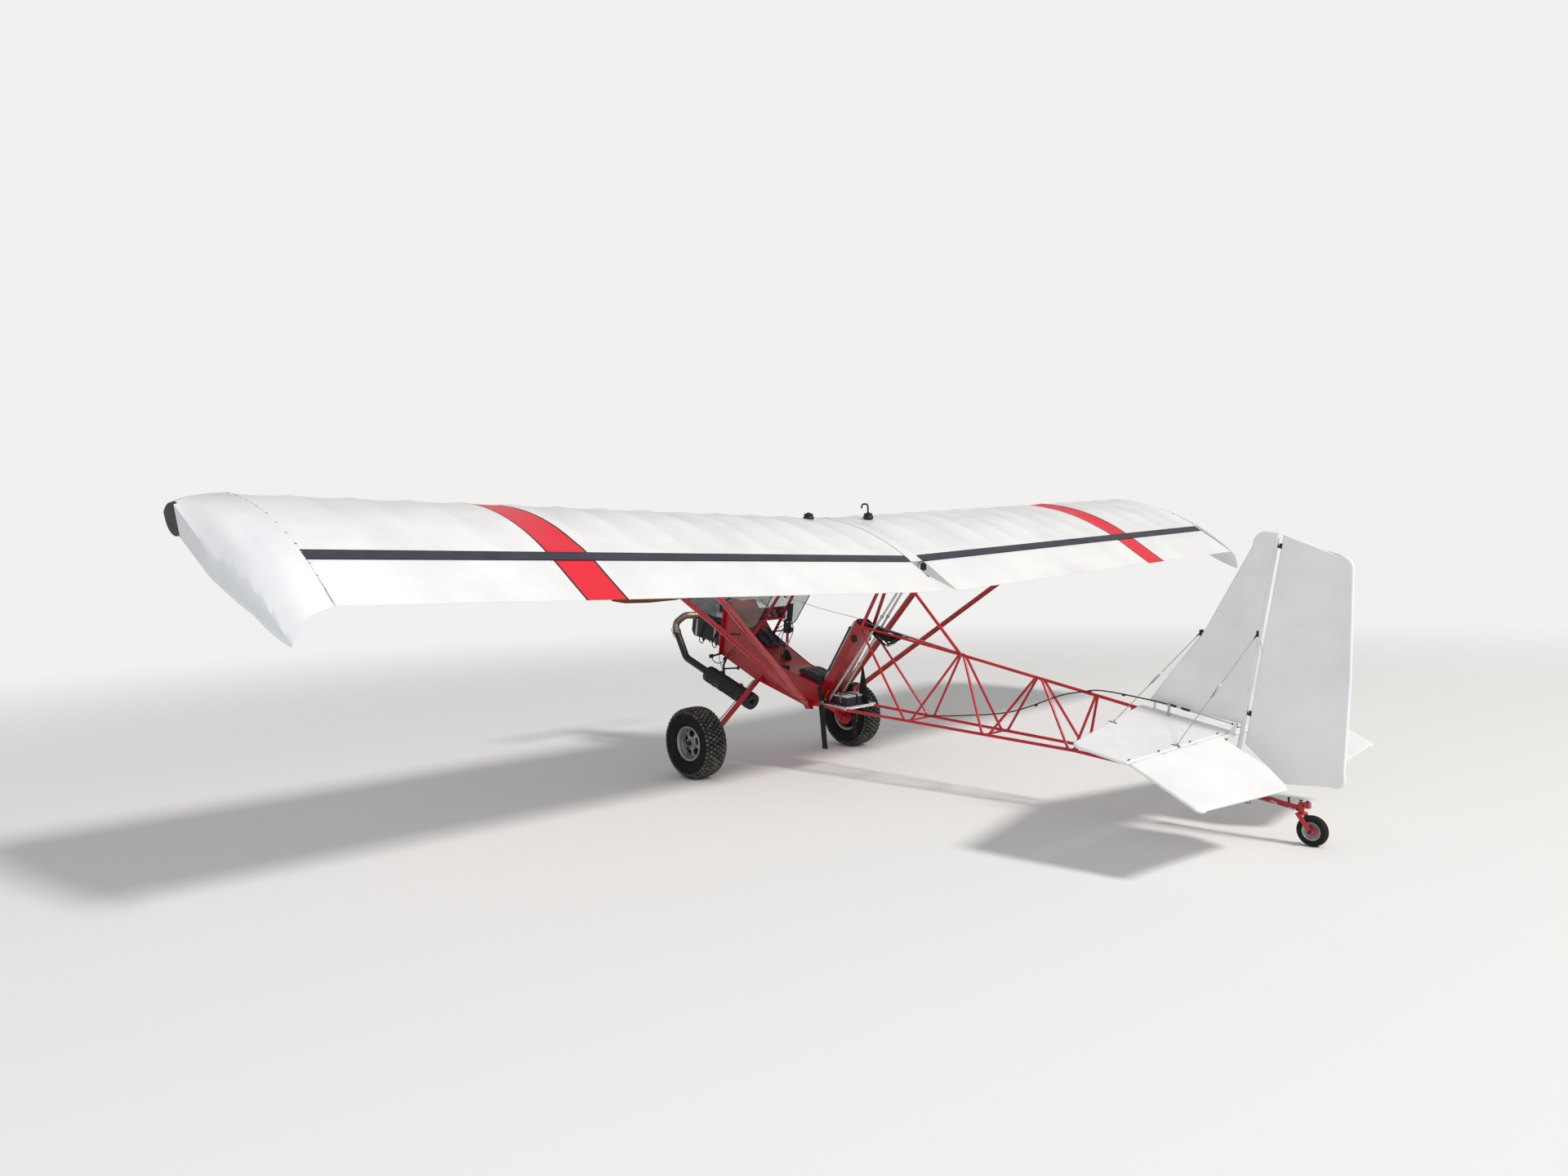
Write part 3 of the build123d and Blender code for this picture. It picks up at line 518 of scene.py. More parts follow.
def turned(a, b, profile, sides=24, place=at):
    """Turned shape on the line from a to b; the profile is (distance along, radius) steps."""
    start = place(*a)
    return lathe(start, (place(*b) - start).normalized(), profile, sides)


def collar(a, b, inner, outer, sides=24, place=at):
    """Ring with a hole through it, on the line from a to b."""
    start, end = place(*a), place(*b)
    run = (end - start).normalized()
    rings = []
    for out in round_ring(Vector(), run, run.orthogonal().normalized(), MM, sides):
        rings.append([start + out * inner, start + out * outer, end + out * outer, end + out * inner])
    return rolled(rings)


def slab(path, x_from, x_to, place=at, rise=0.0):
    """Side outline carried across from x_from to x_to."""
    loop = outline(path, math.inf, 8)
    return skinned([[place(x, y, z + x * rise) for y, z in loop] for x in (x_from, x_to)])


def box(x0, x1, y0, y1, z0, z1, place=at):
    return slab([(y0, z0), (y1, z0), (y1, z1), (y0, z1)], x0, x1, place)


def rod(a, b, r, sides=12, place=at):
    """Straight round rod between two places in millimetres."""
    return tube_along([place(*a), place(*b)], r * MM, sides)


def smooth_line(points, steps=6):
    """Smooth line through places, each in metres."""
    p = [2 * points[0] - points[1], *points, 2 * points[-1] - points[-2]]
    line = []
    for a, b, c, d in zip(p, p[1:], p[2:], p[3:]):
        for k in range(steps):
            t = k / steps
            bend = (2 * a - 5 * b + 4 * c - d) * t**2 + (3 * b - a - 3 * c + d) * t**3
            line.append((2 * b + (c - a) * t + bend) / 2)
    return line + [p[-2]]


def hose(points, r, sides=10, steps=6, place=at):
    """Round hose or cable along a smooth line through places in millimetres."""
    return tube_along(smooth_line([place(*p) for p in points], steps), r * MM, sides)


def joined(*parts):
    """Several shapes as one."""
    points, faces = [], []
    for more_points, more_faces in parts:
        start = len(points)
        points += list(more_points)
        faces += [tuple(start + i for i in face) for face in more_faces]
    return points, faces


def taken_from(work):
    """Shape of a bmesh, which is then freed."""
    work.verts.index_update()
    shape = [v.co.copy() for v in work.verts], [tuple(v.index for v in f.verts) for f in work.faces]
    work.free()
    return shape


def whole(shapes):
    """One shape as it is, or a list of them as one."""
    return joined(*shapes) if isinstance(shapes, list) else shapes


def flipped(p):
    return Vector((-p[0], p[1], p[2]))


def mirrored(shape):
    points, faces = shape
    return [flipped(p) for p in points], [tuple(reversed(f)) for f in faces]


def both_sides(*shapes):
    """Several shapes and their mirror images as one."""
    one = joined(*shapes)
    return joined(one, mirrored(one))


def both(places):
    """Places of studs and their mirror images."""
    return places + [tuple(flipped(v) for v in row) for row in places]


# Studs: one tree sets a small tapered prism on each place, for screws, bolt heads, rivets and tread knobs

STUD_SOCKETS = {
    "Places": "Geometry",
    "Sides": "Int",
    "Foot radius": "Float",
    "Top radius": "Float",
    "Height": "Float",
    "Finish": "Material",
}
STUD_VECTORS = ("outward", "along", "stretch")


def studs_tree():
    tree = bpy.data.node_groups.new("studs", "GeometryNodeTree")
    for name, kind in STUD_SOCKETS.items():
        tree.interface.new_socket(name, in_out="INPUT", socket_type=f"NodeSocket{kind}")
    tree.interface.new_socket("Studs", in_out="OUTPUT", socket_type="NodeSocketGeometry")
    given = add(tree, "NodeGroupInput").outputs
    cone = {"Vertices": given["Sides"], "Depth": given["Height"]}
    cone.update({"Radius Top": given["Top radius"], "Radius Bottom": given["Foot radius"]})
    stud = add(tree, "GeometryNodeMeshCone", cone).outputs["Mesh"]
    vectors = []
    for name in STUD_VECTORS:
        read = add(tree, "GeometryNodeInputNamedAttribute", {"Name": name}, data_type="FLOAT_VECTOR")
        vectors.append(read.outputs["Attribute"])
    outward, along, stretch = vectors
    facing = {"Primary Axis": outward, "Secondary Axis": along}
    turn = add(tree, "FunctionNodeAxesToRotation", facing, primary_axis="Z", secondary_axis="X").outputs[0]
    points = add(tree, "GeometryNodeMeshToPoints", {"Mesh": given["Places"]}).outputs[0]
    placed = {"Points": points, "Instance": stud, "Rotation": turn, "Scale": stretch}
    placed = add(tree, "GeometryNodeInstanceOnPoints", placed).outputs[0]
    real = add(tree, "GeometryNodeRealizeInstances", {"Geometry": placed}).outputs[0]
    done = add(tree, "GeometryNodeSetMaterial", {"Geometry": real, "Material": given["Finish"]}).outputs[0]
    add(tree, "NodeGroupOutput", {"Studs": done})
    return tree


STUDS = studs_tree()


def studs(name, places, sides, foot, top, height, material, body="airframe"):
    """Studs on places, each (place, outward, along) or with a stretch as a fourth; sizes in millimetres."""
    mesh = bpy.data.meshes.new(name)
    mesh.from_pydata([tuple(row[0]) for row in places], [], [])
    for column, label in enumerate(STUD_VECTORS, 1):
        layer = mesh.attributes.new(label, "FLOAT_VECTOR", "POINT")
        rows = [row[column] if len(row) > column else (1, 1, 1) for row in places]
        layer.data.foreach_set("vector", [float(c) for row in rows for c in row])
    made = linked(name, mesh)
    grown = made.modifiers.new("studs", "NODES")
    grown.node_group = STUDS
    sizes = {"Sides": sides, "Finish": material}
    sizes.update({"Foot radius": foot * MM, "Top radius": top * MM, "Height": height * MM})
    for socket in STUDS.interface.items_tree:
        if socket.name in sizes:
            grown[socket.identifier] = sizes[socket.name]
    made.update_tag()
    frozen(made)
    settled(made, material, body)


# Wing covering: cloth drawn tight over ribs, so that it dips a little in each bay

WING_ROOT = 62.0
WING_END = 3960.0
RIB_PITCH = (WING_END - WING_ROOT) / 13
WING_SAG = 12.0
FLAPERON_SAG = 2.0
HINGE = (1312.0, 1398.0)
COVE_R = 42.0
NOSE_R = 36.0
FLAPERON_ENDS = (66.0, 3948.0)
FLAPERON_EDGE = (1585.0, 1249.0)
BAY_STEPS = (0.0, 0.08, 0.2, 0.35, 0.5, 0.65, 0.8, 0.92)
WING_SECTION = [
    (HINGE[0], HINGE[1] + COVE_R),
    (910, 1652, 500, 1744),
    (352, 1702, 300, 1615),
    (335, 1581, 420, 1562),
    (HINGE[0] - 25.8, HINGE[1] - 33.1),
    (HINGE[0] - COVE_R, HINGE[1], HINGE[0], HINGE[1] + COVE_R),
]


def flaperon_section():
    back = FLAPERON_EDGE[0] - HINGE[0]
    down = HINGE[1] - FLAPERON_EDGE[1]
    slope = math.atan2(down, back)
    spread_angle = math.asin(NOSE_R / math.hypot(back, down))
    top = slope + spread_angle
    bottom = slope - spread_angle
    return [
        FLAPERON_EDGE,
        (HINGE[0] + NOSE_R * math.sin(top), HINGE[1] + NOSE_R * math.cos(top)),
        (
            HINGE[0] - NOSE_R * math.cos(slope),
            HINGE[1] + NOSE_R * math.sin(slope),
            HINGE[0] - NOSE_R * math.sin(bottom),
            HINGE[1] - NOSE_R * math.cos(bottom),
        ),
        (FLAPERON_EDGE[0] - 3 * math.sin(slope), FLAPERON_EDGE[1] - 3 * math.cos(slope)),
    ]


def eased(value, start, end):
    share = min(max((value - start) / (end - start), 0.0), 1.0)
    return share * share * (3 - 2 * share)


def stations(ends):
    """Places across the wing, close together beside each rib, with the share of the full sag at each."""
    places = []
    bay = WING_ROOT
    while bay < WING_END - 1:
        for step in BAY_STEPS:
            x = bay + step * RIB_PITCH
            if ends[0] < x < ends[1]:
                places.append((x, 4 * step * (1 - step)))
        bay += RIB_PITCH
    return [(ends[0], 0.0)] + places + [(ends[1], 0.0)]


def covered(section, ends, sag, loose, rise=WING_RISE):
    """Skin over a section, drawn in by the sag between ribs where loose(y) lets the cloth move."""
    loop = outline(section, 45.0, 16)
    if math.dist(loop[0], loop[-1]) < 0.01:
        loop.pop()
    count = len(loop)
    inward = []
    for i in range(count):
        (ay, az), (by, bz) = loop[i - 1], loop[(i + 1) % count]
        long = math.hypot(by - ay, bz - az)
        inward.append(((bz - az) / long, -(by - ay) / long))
    area = sum(loop[i - 1][0] * loop[i][1] - loop[i][0] * loop[i - 1][1] for i in range(count))
    side = -1.0 if area > 0 else 1.0
    rings = []
    for x, share in stations(ends):
        ring = []
        for (y, z), (ny, nz) in zip(loop, inward):
            move = side * sag * share * loose(y)
            ring.append(at(x, y + ny * move, z + nz * move + x * rise))
        rings.append(ring)
    return skinned(rings)


def wing_loose(y):
    return eased(y, 330, 560) * (1 - eased(y, 1130, 1270))


def flaperon_loose(y):
    return eased(y, 1345, 1400) * (1 - eased(y, 1500, 1580))


wing_shape = covered(WING_SECTION, (WING_ROOT, WING_END), WING_SAG, wing_loose)
left_and_right("wing_cover", wing_shape, wing_cloth, replaces="wing_{side}")
centre_shape = covered(WING_SECTION, (-61.8, 55.0), 0.0, wing_loose, 0.0)
piece("wing_centre_cover", centre_shape, tail_cloth, replaces=["wing_centre"])
flaperon_shape = covered(flaperon_section(), FLAPERON_ENDS, FLAPERON_SAG, flaperon_loose)
left_and_right("flaperon_cover", flaperon_shape, wing_cloth, "flaperon_{side}", "flaperon_{side}")

# Gap seal over the flaperon hinge: a slate band on the wing's top, edged in black

SEAL_PLACES = (SEAL_FRONT, 1275.0, 1290.0, 1304.0, 1312.0, 1317.0, SEAL_REAR)
SEAL_ENDS = (60.0, 3950.0)


def wing_top(y):
    """Height of the wing's top at y, and on past its rear lip."""
    line = [WING_SECTION[0], *arc_through(WING_SECTION[0], WING_SECTION[1][:2], WING_SECTION[1][2:], 60)]
    (ya, za), (yb, zb) = line[0], line[1]
    if y >= ya:
        return za + (za - zb) / (ya - yb) * (y - ya) * 0.62
    return float(np.interp(y, [p[0] for p in reversed(line)], [p[1] for p in reversed(line)]))


def gap_seal():
    upper = [(y, wing_top(y) + 1.3) for y in SEAL_PLACES]
    lower = [(y, wing_top(y) + 0.1) for y in reversed(SEAL_PLACES)]
    stations_x = np.linspace(*SEAL_ENDS, 14)
    return skinned([[at(x, y, z + x * WING_RISE) for y, z in upper + lower] for x in stations_x])


left_and_right("gap_seal", gap_seal(), tape_and_gap_shade)

# Drooped tips, moulded in one piece: smooth from section to section and cut off along a slanted line

TIP_X = [3960.0, 4080.0, 4150.0, 4200.0]
TIP_OVER = [
    # rear edge, top mid, crown, nose mid, nose
    ((1585, 1249), (1010, 1612), (500, 1744), (352, 1702), (300, 1615)),
    ((1576, 1178), (1012, 1580), (512, 1726), (368, 1690), (316, 1618)),
    ((1562, 1045), (1026, 1515), (530, 1704), (392, 1682), (345, 1625)),
    ((1550, 980), (1040, 1395), (565, 1672), (462, 1683), (413, 1651)),
]
TIP_UNDER = [
    # lower mid, lower, lower rear
    ((335, 1581), (420, 1562), (1300, 1361)),
    ((348, 1586), (430, 1565), (1298, 1290)),
    ((376, 1594), (456, 1570), (1292, 1214)),
    ((450, 1592), (600, 1540), (1288, 1190)),
]
TIP_TAPER_FROM = 939.0
TIP_TAPER = 0.1216


def tip_row(x):
    """The tip's section places at x, on a smooth curve through the table's rows."""
    xs = TIP_X
    values = np.array([over + under for over, under in zip(TIP_OVER, TIP_UNDER)], dtype=float).reshape(4, -1)
    slopes = np.gradient(values, xs, axis=0)
    i = min(max(sum(x >= edge for edge in xs) - 1, 0), len(xs) - 2)
    long = xs[i + 1] - xs[i]
    t = (x - xs[i]) / long
    row = (
        values[i] * (2 * t**3 - 3 * t**2 + 1)
        + slopes[i] * long * (t**3 - 2 * t**2 + t)
        + values[i + 1] * (3 * t**2 - 2 * t**3)
        + slopes[i + 1] * long * (t**3 - t**2)
    )
    return row.reshape(-1, 2)


def tip_shape():
    rings = []
    for x in np.linspace(WING_END, 4200, 21):
        rear, top_mid, crown, nose_mid, nose, low_mid, low, low_rear = tip_row(x)
        edge = (rear[0] - 2, rear[1] - 4)
        path = [rear, (*top_mid, *crown), (*nose_mid, *nose), (*low_mid, *low), low_rear, edge]
        loop = outline([tuple(p) for p in path], arc_count=18, line_count=10)
        rings.append([at(x, y, z + x * WING_RISE) for y, z in loop])
    points, faces = skinned(rings)
    work = bmesh.new()
    made = [work.verts.new(p) for p in points]
    for face in faces:
        work.faces.new([made[i] for i in face])
    corner = at(4200, TIP_TAPER_FROM, 0)
    away = Vector((1, TIP_TAPER, 0)).normalized()
    everything = list(work.verts) + list(work.edges) + list(work.faces)
    cut = bmesh.ops.bisect_plane(work, geom=everything, plane_co=corner, plane_no=away, clear_outer=True)
    rim = [e for e in cut["geom_cut"] if isinstance(e, bmesh.types.BMEdge)]
    bmesh.ops.contextual_create(work, geom=[e for e in rim if e.is_boundary])
    return taken_from(work)


left_and_right("wing_tip_moulding", tip_shape(), tip_gelcoat, replaces="wing_tip_{side}")

# Tail surfaces: cloth over a welded frame, full round at the edge tube and hollow between the ribs

EDGE_TUBE_R = 10.0
HOLLOW = 3.2
RIB_WIDE = 26.0
RIB_LIFT = 1.9
EDGE_STEPS = (0.0, 1.0, 2.5, 5.0, 7.5, 10.0, 14.0, 20.0, 30.0)
GRID_STEP = 13.0


def resampled(line, shares):
    """Places at these shares of the way along a line of points."""
    line = np.array(line, dtype=float)
    lengths = np.concatenate([[0], np.cumsum(np.hypot(*np.diff(line, axis=0).T))])
    wanted = np.array(shares) * lengths[-1]
    return np.stack([np.interp(wanted, lengths, line[:, k]) for k in (0, 1)], axis=1)


def distance_to(points, line):
    """Shortest distance from each point to a line of points."""
    best = np.full(len(points), 1e9)
    for a, b in zip(line[:-1], line[1:]):
        run = np.array(b) - np.array(a)
        share = np.clip(((points - a) @ run) / max(run @ run, 1e-9), 0, 1)
        best = np.minimum(best, np.hypot(*(points - (np.array(a) + share[:, None] * run)).T))
    return best


def close_at_ends(long):
    """Shares of the way along, closely spaced at both ends."""
    last = EDGE_STEPS[-1]
    middle = list(np.arange(last + GRID_STEP, long - last - GRID_STEP / 2, GRID_STEP))
    places = list(EDGE_STEPS) + middle + [long - f for f in reversed(EDGE_STEPS)]
    return [p / long for p in places]


def framed_panel(first, last, ribs, place):
    """Two skins between a first and a last edge line, as thick as the frame under them."""
    first_long = sum(math.dist(a, b) for a, b in zip(first, first[1:]))
    across = close_at_ends(first_long)
    along = close_at_ends(math.dist(first[len(first) // 2], last[len(last) // 2]))
    starts = resampled(first, across)
    ends = resampled(last, across)
    grid = np.array([[(1 - t) * a + t * b for t in along] for a, b in zip(starts, ends)])
    flat = grid.reshape(-1, 2)
    loop = [tuple(p) for p in list(first) + list(reversed(last))]
    loop.append(loop[0])
    edge = distance_to(flat, loop)
    inside = np.minimum(edge, EDGE_TUBE_R)
    half = np.sqrt(np.maximum(EDGE_TUBE_R**2 - (EDGE_TUBE_R - inside) ** 2, 0))
    hollow = HOLLOW * np.clip((edge - EDGE_TUBE_R) / 90, 0, 1) ** 0.8
    for rib in ribs:
        near = distance_to(flat, rib)
        hollow = hollow - np.minimum(hollow, RIB_LIFT) * np.exp(-((near / RIB_WIDE) ** 2))
    half = half - hollow
    rows, columns = grid.shape[:2]
    points = [place(*p, h * way) for way in (1, -1) for p, h in zip(flat, half)]
    faces = []
    count = rows * columns
    for r in range(rows - 1):
        for c in range(columns - 1):
            a = r * columns + c
            quad = (a, a + 1, a + columns + 1, a + columns)
            faces.append(quad)
            faces.append(tuple(count + i for i in reversed(quad)))
    return points, faces


def upright(y, z, off):
    return at(off, y, z)


def beside_hinge(ahead, height):
    back = 3459.0 + (height - 480.0) * LEAN[0] / LEAN[1]
    return (back - ahead / LEAN[1], height)


FIN_FRONT = [(2932, 660), (2926, 668), (3252, 1069), (3511, 1505), (3535, 1560, 3600, 1577)]
FIN_FRONT = outline(FIN_FRONT, 40.0, 10)
FIN_REAR = [beside_hinge(17, 578), beside_hinge(17, 1570)]
FIN_RIBS = [
    [(3252, 1069), beside_hinge(17, 1069)],
    [(3110, 900), beside_hinge(17, 790)],
    [(3420, 1350), beside_hinge(17, 1350)],
]
RUDDER_FRONT = [beside_hinge(0, 482), beside_hinge(0, 1563)]
RUDDER_REAR = outline(
    [(3664, 296), (3889, 307), (3945, 315, 3955, 373), (3990, 856), (4007, 1379), (3995, 1425, 3937, 1453)],
    40.0,
    10,
)
STAB_FRONT = outline(
    [
        *[(-1052, 3120), (-1044, 3090, -1015, 3071), (-1000, 3067), (0, 2863)],
        *[(1000, 3067), (1015, 3071), (1044, 3090, 1052, 3120)],
    ],
    60.0,
    8,
)
STAB_REAR = [(-1060, 3377), (1060, 3377)]
STAB_RIBS = [
    [(500, 2968), (1052, 3370)],
    [(-500, 2968), (-1052, 3370)],
    [(0, 2868), (0, 3377)],
    [(560, 2980), (560, 3377)],
    [(-560, 2980), (-560, 3377)],
]
STAB_UP = Vector((0, LEAN[0], LEAN[1]))
ELEVATOR_HINGE = (3396.0, 523.0)
ELEVATOR_DROOP = math.radians(27.5)
ELEVATOR_UP = Vector((0, math.sin(ELEVATOR_DROOP), math.cos(ELEVATOR_DROOP)))
ELEVATOR_FRONT = [(150, 0), (1060, 0)]
ELEVATOR_REAR = outline(
    [(150, 270), (162, 300), (225, 396), (258, 428, 302, 431), (1000, 373), (1052, 366, 1060, 325)], 40.0, 10
)
ELEVATOR_RIBS = [[(450, 0), (450, 400)], [(760, 0), (760, 380)]]
RUDDER_RIBS = [
    [beside_hinge(0, 780), (3985, 780)],
    [beside_hinge(0, 1090), (3998, 1090)],
    [beside_hinge(0, 480), (3960, 560)],
    [beside_hinge(0, 1340), (4005, 1320)],
]


def stabiliser_top(y):
    return ELEVATOR_HINGE[1] - (y - ELEVATOR_HINGE[0]) * LEAN[0] / LEAN[1]


def on_stabiliser(x, y, off):
    return at(x, y, stabiliser_top(y)) + STAB_UP * off * MM


def on_elevator(x, back, off):
    y = ELEVATOR_HINGE[0] + back * math.cos(ELEVATOR_DROOP)
    place = at(x, y, ELEVATOR_HINGE[1] - back * math.sin(ELEVATOR_DROOP))
    return place + ELEVATOR_UP * off * MM


TAIL_POST = (beside_hinge(28, 205), beside_hinge(28, 1540))
POST_WHITE_FROM = 0.12
post_low = at(0, *TAIL_POST[0])
post_high = at(0, *TAIL_POST[1])
post_change = post_low.lerp(post_high, POST_WHITE_FROM)
fin_foot = rod((0, 2960, 670), (0, 2950, 600), 6.9, 16)
fin_skin = framed_panel(FIN_FRONT, FIN_REAR, FIN_RIBS, upright)
piece("fin_cover", fin_skin, tail_cloth, replaces=["fin"])
white_post = [tube_along([post_change, post_high], 10.9 * MM, 20), fin_foot]
piece("tail_post_white", white_post, white_enamel)
piece("tail_post_red", tube_along([post_low, post_change], 10.9 * MM, 20), red_enamel)
rudder_skin = framed_panel(RUDDER_FRONT, RUDDER_REAR, RUDDER_RIBS, upright)
piece("rudder_cover", rudder_skin, tail_cloth, body="rudder", replaces=["rudder"])
stab_skin = framed_panel(STAB_FRONT, STAB_REAR, STAB_RIBS, on_stabiliser)
piece("stabiliser_cover", stab_skin, tail_cloth, replaces=["stabiliser"])
elevator_half = framed_panel(ELEVATOR_FRONT, ELEVATOR_REAR, ELEVATOR_RIBS, on_elevator)
torque_tube = rod((-1060, *ELEVATOR_HINGE), (1060, *ELEVATOR_HINGE), 9.9, 20)
HORN = [(3386, 523), (3406, 523), (3426, 548, 3436, 584), (3420, 590)]
horn = slab(HORN, 41, 46)
elevator_skins = [elevator_half, mirrored(elevator_half), torque_tube, horn]
piece("elevator_cover", elevator_skins, tail_cloth, body="elevator", replaces=["elevator"])

# Wheels: knobbly tyres on five-spoke rims, drawn about the axle and then set on it

AXLE_X = 790.0
AXLE_Z = 242.5
KNOB_ROUND = 46
KNOB_COLUMNS = [
    # place across, radius of the knob's foot, lean outwards in degrees, half a pitch round
    (12.0, 231.0, 3.0, 0.0),
    (36.0, 230.0, 9.0, 0.5),
    (60.0, 226.5, 19.0, 0.0),
    (78.0, 213.0, 55.0, 0.5),
]
KNOB_FOOT = 14.4
KNOB_TOP = 11.6
KNOB_HEIGHT = 10.8
CARCASS = [
    (-59, 111),
    (-64, 117),
    (-66, 124),
    (-78, 138),
    (-84.5, 158),
    (-86.5, 172),
    (-86, 186),
    (-84, 198),
    (-80, 211),
    (-72, 222),
    (-60, 227.5),
    (-36, 230.6),
    (-12, 231.6),
]
SIDE_RIBS = (133.0, 146.0, 190.0)


def about_axle(centre, across, r, turn):
    """Place at a distance across and a radius from an axle that runs across the craft."""
    return centre + Vector((across, r * math.sin(turn), r * math.cos(turn))) * MM


def spun(centre, profile, sides=96):
    """Turned shape about an axle across the craft; the profile is (across, radius) steps, closed."""
    return rolled([[about_axle(centre, x, r, t) for x, r in profile] for t in turns(sides)])


def back_to_back(half):
    """Half a profile (across, radius) and its mirror image, in one line."""
    return half + [(-x, r) for x, r in reversed(half)]


def ribbed(profile, ribs):
    """Carcass profile with small moulded ribs on the sidewall."""
    radii = [r for _, r in profile]
    places = sorted(radii + [rib + step for rib in ribs for step in (-3, -1.4, 1.4, 3)])
    line = []
    for r in places:
        x = float(np.interp(r, radii, [p[0] for p in profile]))
        raised = any(abs(r - rib) < 1.5 for rib in ribs)
        line.append((x - (1.2 if raised else 0), r))
    return line


def knob_places(centre):
    places = []
    for side in (-1, 1):
        for across, r, lean, shift in KNOB_COLUMNS:
            shift += 0.5 if side > 0 else 0
            tilt = math.radians(lean) * side
            height = 0.72 if lean > 30 else 1.0
            for turn in turns(KNOB_ROUND, 2 * math.pi * shift / KNOB_ROUND):
                up = Vector((0, math.sin(turn), math.cos(turn)))
                outward = up * math.cos(tilt) + Vector(LEFT) * math.sin(tilt)
                along = Vector((0, math.cos(turn), -math.sin(turn)))
                along = (along + outward.cross(along)) / math.sqrt(2)
                places.append((about_axle(centre, across * side, r, turn), outward, along, (1, 1, height)))
    return places


WINDOWS = 5
WINDOW_R = 68.0
WINDOW_HALF = (23.0, 27.0)
RIM_LIP = [(62, 110.5), (64, 117.5), (67, 119), (70, 116), (69, 108), (64, 104), (52, 101), (40, 99)]
RIM_BARREL = RIM_LIP + [(38, 97), (-60, 99)] + [(-x, r) for x, r in reversed(RIM_LIP[:6])]
HUB_PROFILE = [
    *[(-55, 9), (-55, 26), (-30, 30), (22, 32), (33, 36)],
    *[(38, 34), (42, 26), (50, 25), (52, 22), (52, 9)],
]
SPOKE_SIDES = 120
SPOKE_RADII = [30, 34, 38, 43, 48, 55, 63, 72, 80, 87, 92, 96, 99]


def rim_shape(centre, side):
    """Rim with a rolled lip and a turned hub; side is 1 on the left."""
    barrel, hub = [[(x * side, r) for x, r in line] for line in (RIM_BARREL, HUB_PROFILE)]
    return joined(spun(centre, barrel), spun(centre, hub, 48))


def spoke_face(centre, side):
    """Dished face between hub and rim, cut by five rounded windows."""
    work = bmesh.new()
    grid = []
    for t in turns(SPOKE_SIDES):
        grid.append([work.verts.new(about_axle(centre, side * dish(r, t), r, t)) for r in SPOKE_RADII])
    for k, turn in enumerate(turns(SPOKE_SIDES, math.pi / SPOKE_SIDES)):
        for i in range(len(SPOKE_RADII) - 1):
            r = (SPOKE_RADII[i] + SPOKE_RADII[i + 1]) / 2
            if not in_window(r, turn):
                j = (k + 1) % SPOKE_SIDES
                work.faces.new((grid[k][i], grid[k][i + 1], grid[j][i + 1], grid[j][i]))
    loose = [v for v in work.verts if not v.link_faces]
    bmesh.ops.delete(work, geom=loose, context="VERTS")
    rim = [v for v in work.verts if any(e.is_boundary for e in v.link_edges)]
    bmesh.ops.smooth_vert(work, verts=rim, factor=0.5, use_axis_x=False, use_axis_y=True, use_axis_z=True)
    bmesh.ops.recalc_face_normals(work, faces=work.faces)
    bmesh.ops.solidify(work, geom=work.faces[:], thickness=7 * MM)
    return taken_from(work)


def window_turn(turn):
    """Angle from the middle of the nearest window."""
    step = 2 * math.pi / WINDOWS
    return (turn + step / 2) % step - step / 2


def in_window(r, turn):
    up = r - WINDOW_R
    wide = WINDOW_HALF[1] + 0.16 * up
    off = abs(window_turn(turn)) * r
    return (up / WINDOW_HALF[0]) ** 4 + (off / wide) ** 2.6 < 1.0


def dish(r, turn):
    """How far out the wheel's face stands: high on the spokes, low towards the rim."""
    spoke = 0.5 - 0.5 * math.cos(window_turn(turn) * WINDOWS)
    return float(np.interp(r, [30, 45, 80, 99], [34, 36, 27, 22])) + 4.0 * spoke


DRUM = [
    *[(-57, 30), (-57, 74), (-61, 78), (-30, 80), (-26, 74), (-26, 40)],
    *[(4, 40), (4, 96), (9, 96), (9, 33), (-20, 33)],
]
for side, name in SIDES:
    centre = at(AXLE_X * side, 0, AXLE_Z)
    wheel = f"wheel_{name}"
    tyre = spun(centre, back_to_back(ribbed(CARCASS, SIDE_RIBS)))
    piece(f"tyre_carcass_{name}", tyre, tyre_rubber, wheel, replaces=[f"tyre_{name}"])
    studs(f"tyre_knobs_{name}", knob_places(centre), 4, KNOB_FOOT, KNOB_TOP, KNOB_HEIGHT, knob_rubber, wheel)
    piece(f"rim_barrel_{name}", rim_shape(centre, side), wheel_silver, wheel, replaces=[f"rim_{name}"])
    piece(f"rim_spokes_{name}", spoke_face(centre, side), wheel_silver, wheel)
    drum = spun(centre, [(x * side, r) for x, r in DRUM], 64)
    piece(f"brake_drum_{name}", drum, stove_black, wheel)
    nuts = [(about_axle(centre, 37.0 * side, 41.0, t), (side, 0, 0), UP) for t in turns(4, 0.4)]
    studs(f"wheel_nuts_{name}", nuts, 6, 7.0, 6.6, 9.0, stainless, wheel)
    stem = [about_axle(centre, across * side, r, 2.2) for across, r in ((30, 92), (58, 90))]
    piece(f"valve_{name}", tube_along(stem, 3.4 * MM, 10), moulded_black, wheel)
